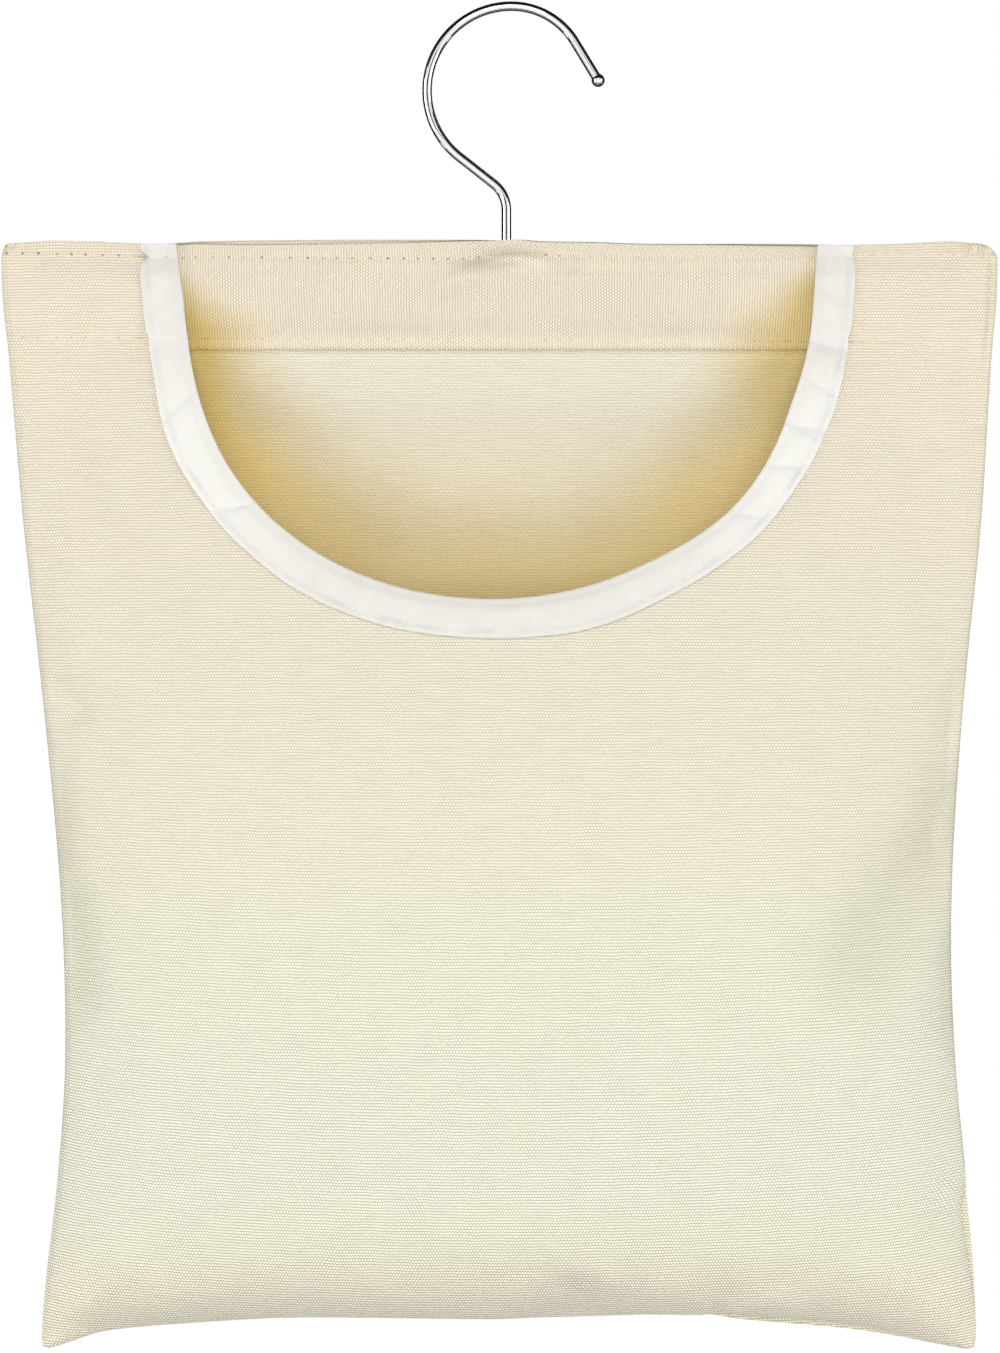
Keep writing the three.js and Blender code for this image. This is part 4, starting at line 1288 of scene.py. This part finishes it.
PHOTO_SIZE = (1000, 1353)
PHOTO_SCALE = 0.33166  # millimetres of bag to a pixel of the photograph
HANG_PIXEL = (511.5, 11.0)  # where the photograph shows the hang point
VIEW_DISTANCE = 1500.0
SENSOR = 36.0
FLOOR_HEIGHT = -0.95
UPRIGHT = Matrix.Rotation(math.pi / 2, 4, "X")
SIDEWAYS = Matrix.Rotation(math.pi / 2, 4, "Z") @ UPRIGHT
LEVEL = Matrix()

# Name, width, height, middle and turn of each black board, in metres
FLAGS = [
    ("flag_beside_lens", 0.95, 0.3, (0, -1.7, 0.13), UPRIGHT),
    ("flag_behind", 7.0, 7.0, (0, 0.5, 0), UPRIGHT),
    ("flag_left", 0.92, 1.6, (-1.3, 0.04, 0), SIDEWAYS),
    ("flag_right", 0.92, 1.6, (1.3, 0.04, 0), SIDEWAYS),
    ("flag_above", 2.4, 1.4, (0, -0.2, 0.5), LEVEL),
    ("flag_below", 2.4, 1.0, (0, 0.0, -0.9), LEVEL),
]

# Name, place and size of each lamp in metres, and its power in watts
LAMPS = [
    ("front_lamp", (0, -2.8, -0.3), 1.6, 26),
    ("upper_lamp", (-0.1, -2.2, 1.6), 1.2, 19.6),
    ("left_lamp", (-2.2, -0.9, -0.1), 1.4, 21.2),
    ("right_lamp", (2.2, -0.9, -0.1), 1.4, 21.4),
    ("back_lamp", (0.5, 2.7, 0.3), 1.6, 48),
]


def studio_camera():
    """A long lens square on to the bag's front, framed as the photograph is."""
    data = bpy.data.cameras.new("camera")
    data.sensor_width = SENSOR
    data.lens = SENSOR * VIEW_DISTANCE / (PHOTO_SIZE[1] * PHOTO_SCALE)
    camera = link("camera", data)
    x = (PHOTO_SIZE[0] / 2 - HANG_PIXEL[0]) * PHOTO_SCALE
    z = -(PHOTO_SIZE[1] / 2 - HANG_PIXEL[1]) * PHOTO_SCALE
    camera.location = Vector((x, -VIEW_DISTANCE, z)) * MM
    camera.rotation_euler = (math.pi / 2, 0, 0)
    bpy.context.scene.camera = camera


def soft_lamp(name, place, size, power):
    """A square soft box that looks at the bag's middle and isn't seen itself."""
    data = bpy.data.lights.new(name, "AREA")
    data.size = size
    data.energy = power
    lamp = link(name, data)
    lamp.location = place
    aim = Vector((0, 0, (wire_high.z + cloth_low.z) / 2 * MM))
    lamp.rotation_euler = (aim - Vector(place)).to_track_quat("-Z", "Y").to_euler()
    lamp.visible_camera = False


def shown_directly(tree):
    """1 for rays from the camera, from a mirror and through glass, or else 0."""
    rays = add(tree, "LightPath").node.outputs
    seen = maths(tree, "MAXIMUM", rays["Is Camera Ray"], rays["Is Glossy Ray"])
    return maths(tree, "MAXIMUM", seen, rays["Is Transmission Ray"])


def studio_world():
    """Soft light from all round. Camera, mirror and glass see a plain white background."""
    world = bpy.data.worlds.new("studio")
    world.use_nodes = True
    tree = world.node_tree
    tree.nodes.clear()
    seen = shown_directly(tree)
    soft = add(tree, "Background", {0: linear("#ffffff"), 1: 0.27})
    white = add(tree, "Background", {0: linear("#ffffff"), 1: 1.0})
    shown = add(tree, "MixShader", {0: seen, 1: soft, 2: white})
    output = tree.nodes.new("ShaderNodeOutputWorld")
    tree.links.new(shown, output.inputs[0])
    bpy.context.scene.world = world


def staged_sheet(name, width, height, middle, turn, material):
    """A flat sheet that is part of the studio."""
    flat = bmesh.new()
    bmesh.ops.create_grid(flat, x_segments=1, y_segments=1, size=0.5)
    place = Matrix.Translation(middle) @ turn @ Matrix.Diagonal((width, height, 1, 1))
    bmesh.ops.transform(flat, matrix=place, verts=flat.verts)
    sheet = piece_from(name, flat)
    sheet.data.materials.append(material)
    return sheet


def studio_floor():
    """A pale floor well below the bag. It looks white, and keeps a shadow."""
    sockets = {"Base Color": linear("#e6e6e4"), "Roughness": 0.9}
    material, tree, shader = new_material("white_studio_floor", sockets)
    white = add(tree, "Emission", {0: linear("#ffffff"), 1: 1.0})
    shown = add(tree, "MixShader", {0: shown_directly(tree), 1: shader.outputs[0], 2: white})
    tree.links.new(shown, tree.nodes["Material Output"].inputs[0])
    staged_sheet("floor", 12, 12, (0, 0, FLOOR_HEIGHT), LEVEL, material)


def dark_flags():
    """Black boards that only the bright wire mirrors, as its dark edges and middle line."""
    sockets = {"Base Color": linear("#0a0a0a"), "Roughness": 1.0}
    material = new_material("black_flag_board", sockets)[0]
    for flag in FLAGS:
        board = staged_sheet(*flag, material)
        board.visible_camera = False
        board.visible_diffuse = False
        board.visible_shadow = False
        board.visible_transmission = False


# Building


def dress(piece, material, body, slot, *nodes):
    """Gives a new piece its finish and its body, and hides the imported nodes that it stands for.
    """
    piece.data.materials.clear()
    piece.data.materials.append(material)
    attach(piece, body)
    if nodes:
        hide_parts(*nodes)


def build():
    studio_camera()
    canvas = canvas_material()
    tape = tape_material()
    cream = thread_material("cream_sewing_thread", "#efe6d3", "#dccfb4")
    white = thread_material("white_sewing_thread", "#f6f5f2", "#dcdad4")

    front = laid_cloth("front_cloth", FRONT_COLUMNS, FRONT_ROWS, lay_front(), CANVAS)
    dress(front, canvas, "bag", "canvas", "front_panel")

    back = laid_cloth("back_cloth", BACK_COLUMNS, BACK_ROWS, lay_back, CANVAS)
    dress(back, canvas, "bag", "canvas", "back_panel")

    facing = laid_cloth("facing_cloth", FACING_COLUMNS, FACING_ROWS, lay_facing, CANVAS)
    dress(facing, canvas, "bag", "canvas", "sleeve_facing")

    binding = laid_cloth("mouth_tape", TAPE_COLUMNS, TAPE_ROWS, lay_tape, TAPE)
    dress(binding, tape, "bag", "white_tape", "mouth_binding")

    upper = stitches("upper_stitches", row_pairs(level_row(upper_row, True)), shaded=True)
    dress(upper, cream, "bag", "cream_thread", "upper_sleeve_stitching")
    lower = stitches("lower_stitches", row_pairs(level_row(lower_row, False)), shaded=True)
    dress(lower, cream, "bag", "cream_thread", "lower_sleeve_stitching")
    around = stitches("tape_stitches", row_pairs(tape_row()))
    dress(around, white, "bag", "white_thread", "binding_stitching")
    tack = stitches("corner_tack", corner_tack(), TACK_THREAD)
    dress(tack, cream, "bag", "cream_thread")
    knot = stitches("corner_knot", corner_knot(), KNOT_THREAD)
    dress(knot, cream, "bag", "cream_thread")

    plate = ("chromium_plated_wire", "#e4e6e8", "TexNoise", 900.0, (0.3, 0.7), (0.02, 0.05))
    dress(wire_hook(), metal_material(*plate), "hook", "bright_wire", "wire_hook")

    zinc = ("zinc_plated_steel", "#b9bdbf", "TexVoronoi", 1500.0, (0.0, 1.0), (0.28, 0.42))
    shown_nodes = {"hook_washer": metal_material(*zinc), "hanger_bar": beech_material()}
    for name, material in shown_nodes.items():
        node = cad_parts[name]
        for slot in node.material_slots:
            slot.material = material

    studio_floor()
    studio_world()
    dark_flags()
    for lamp in LAMPS:
        soft_lamp(*lamp)


build()
bpy.context.scene.view_settings.view_transform = "Standard"
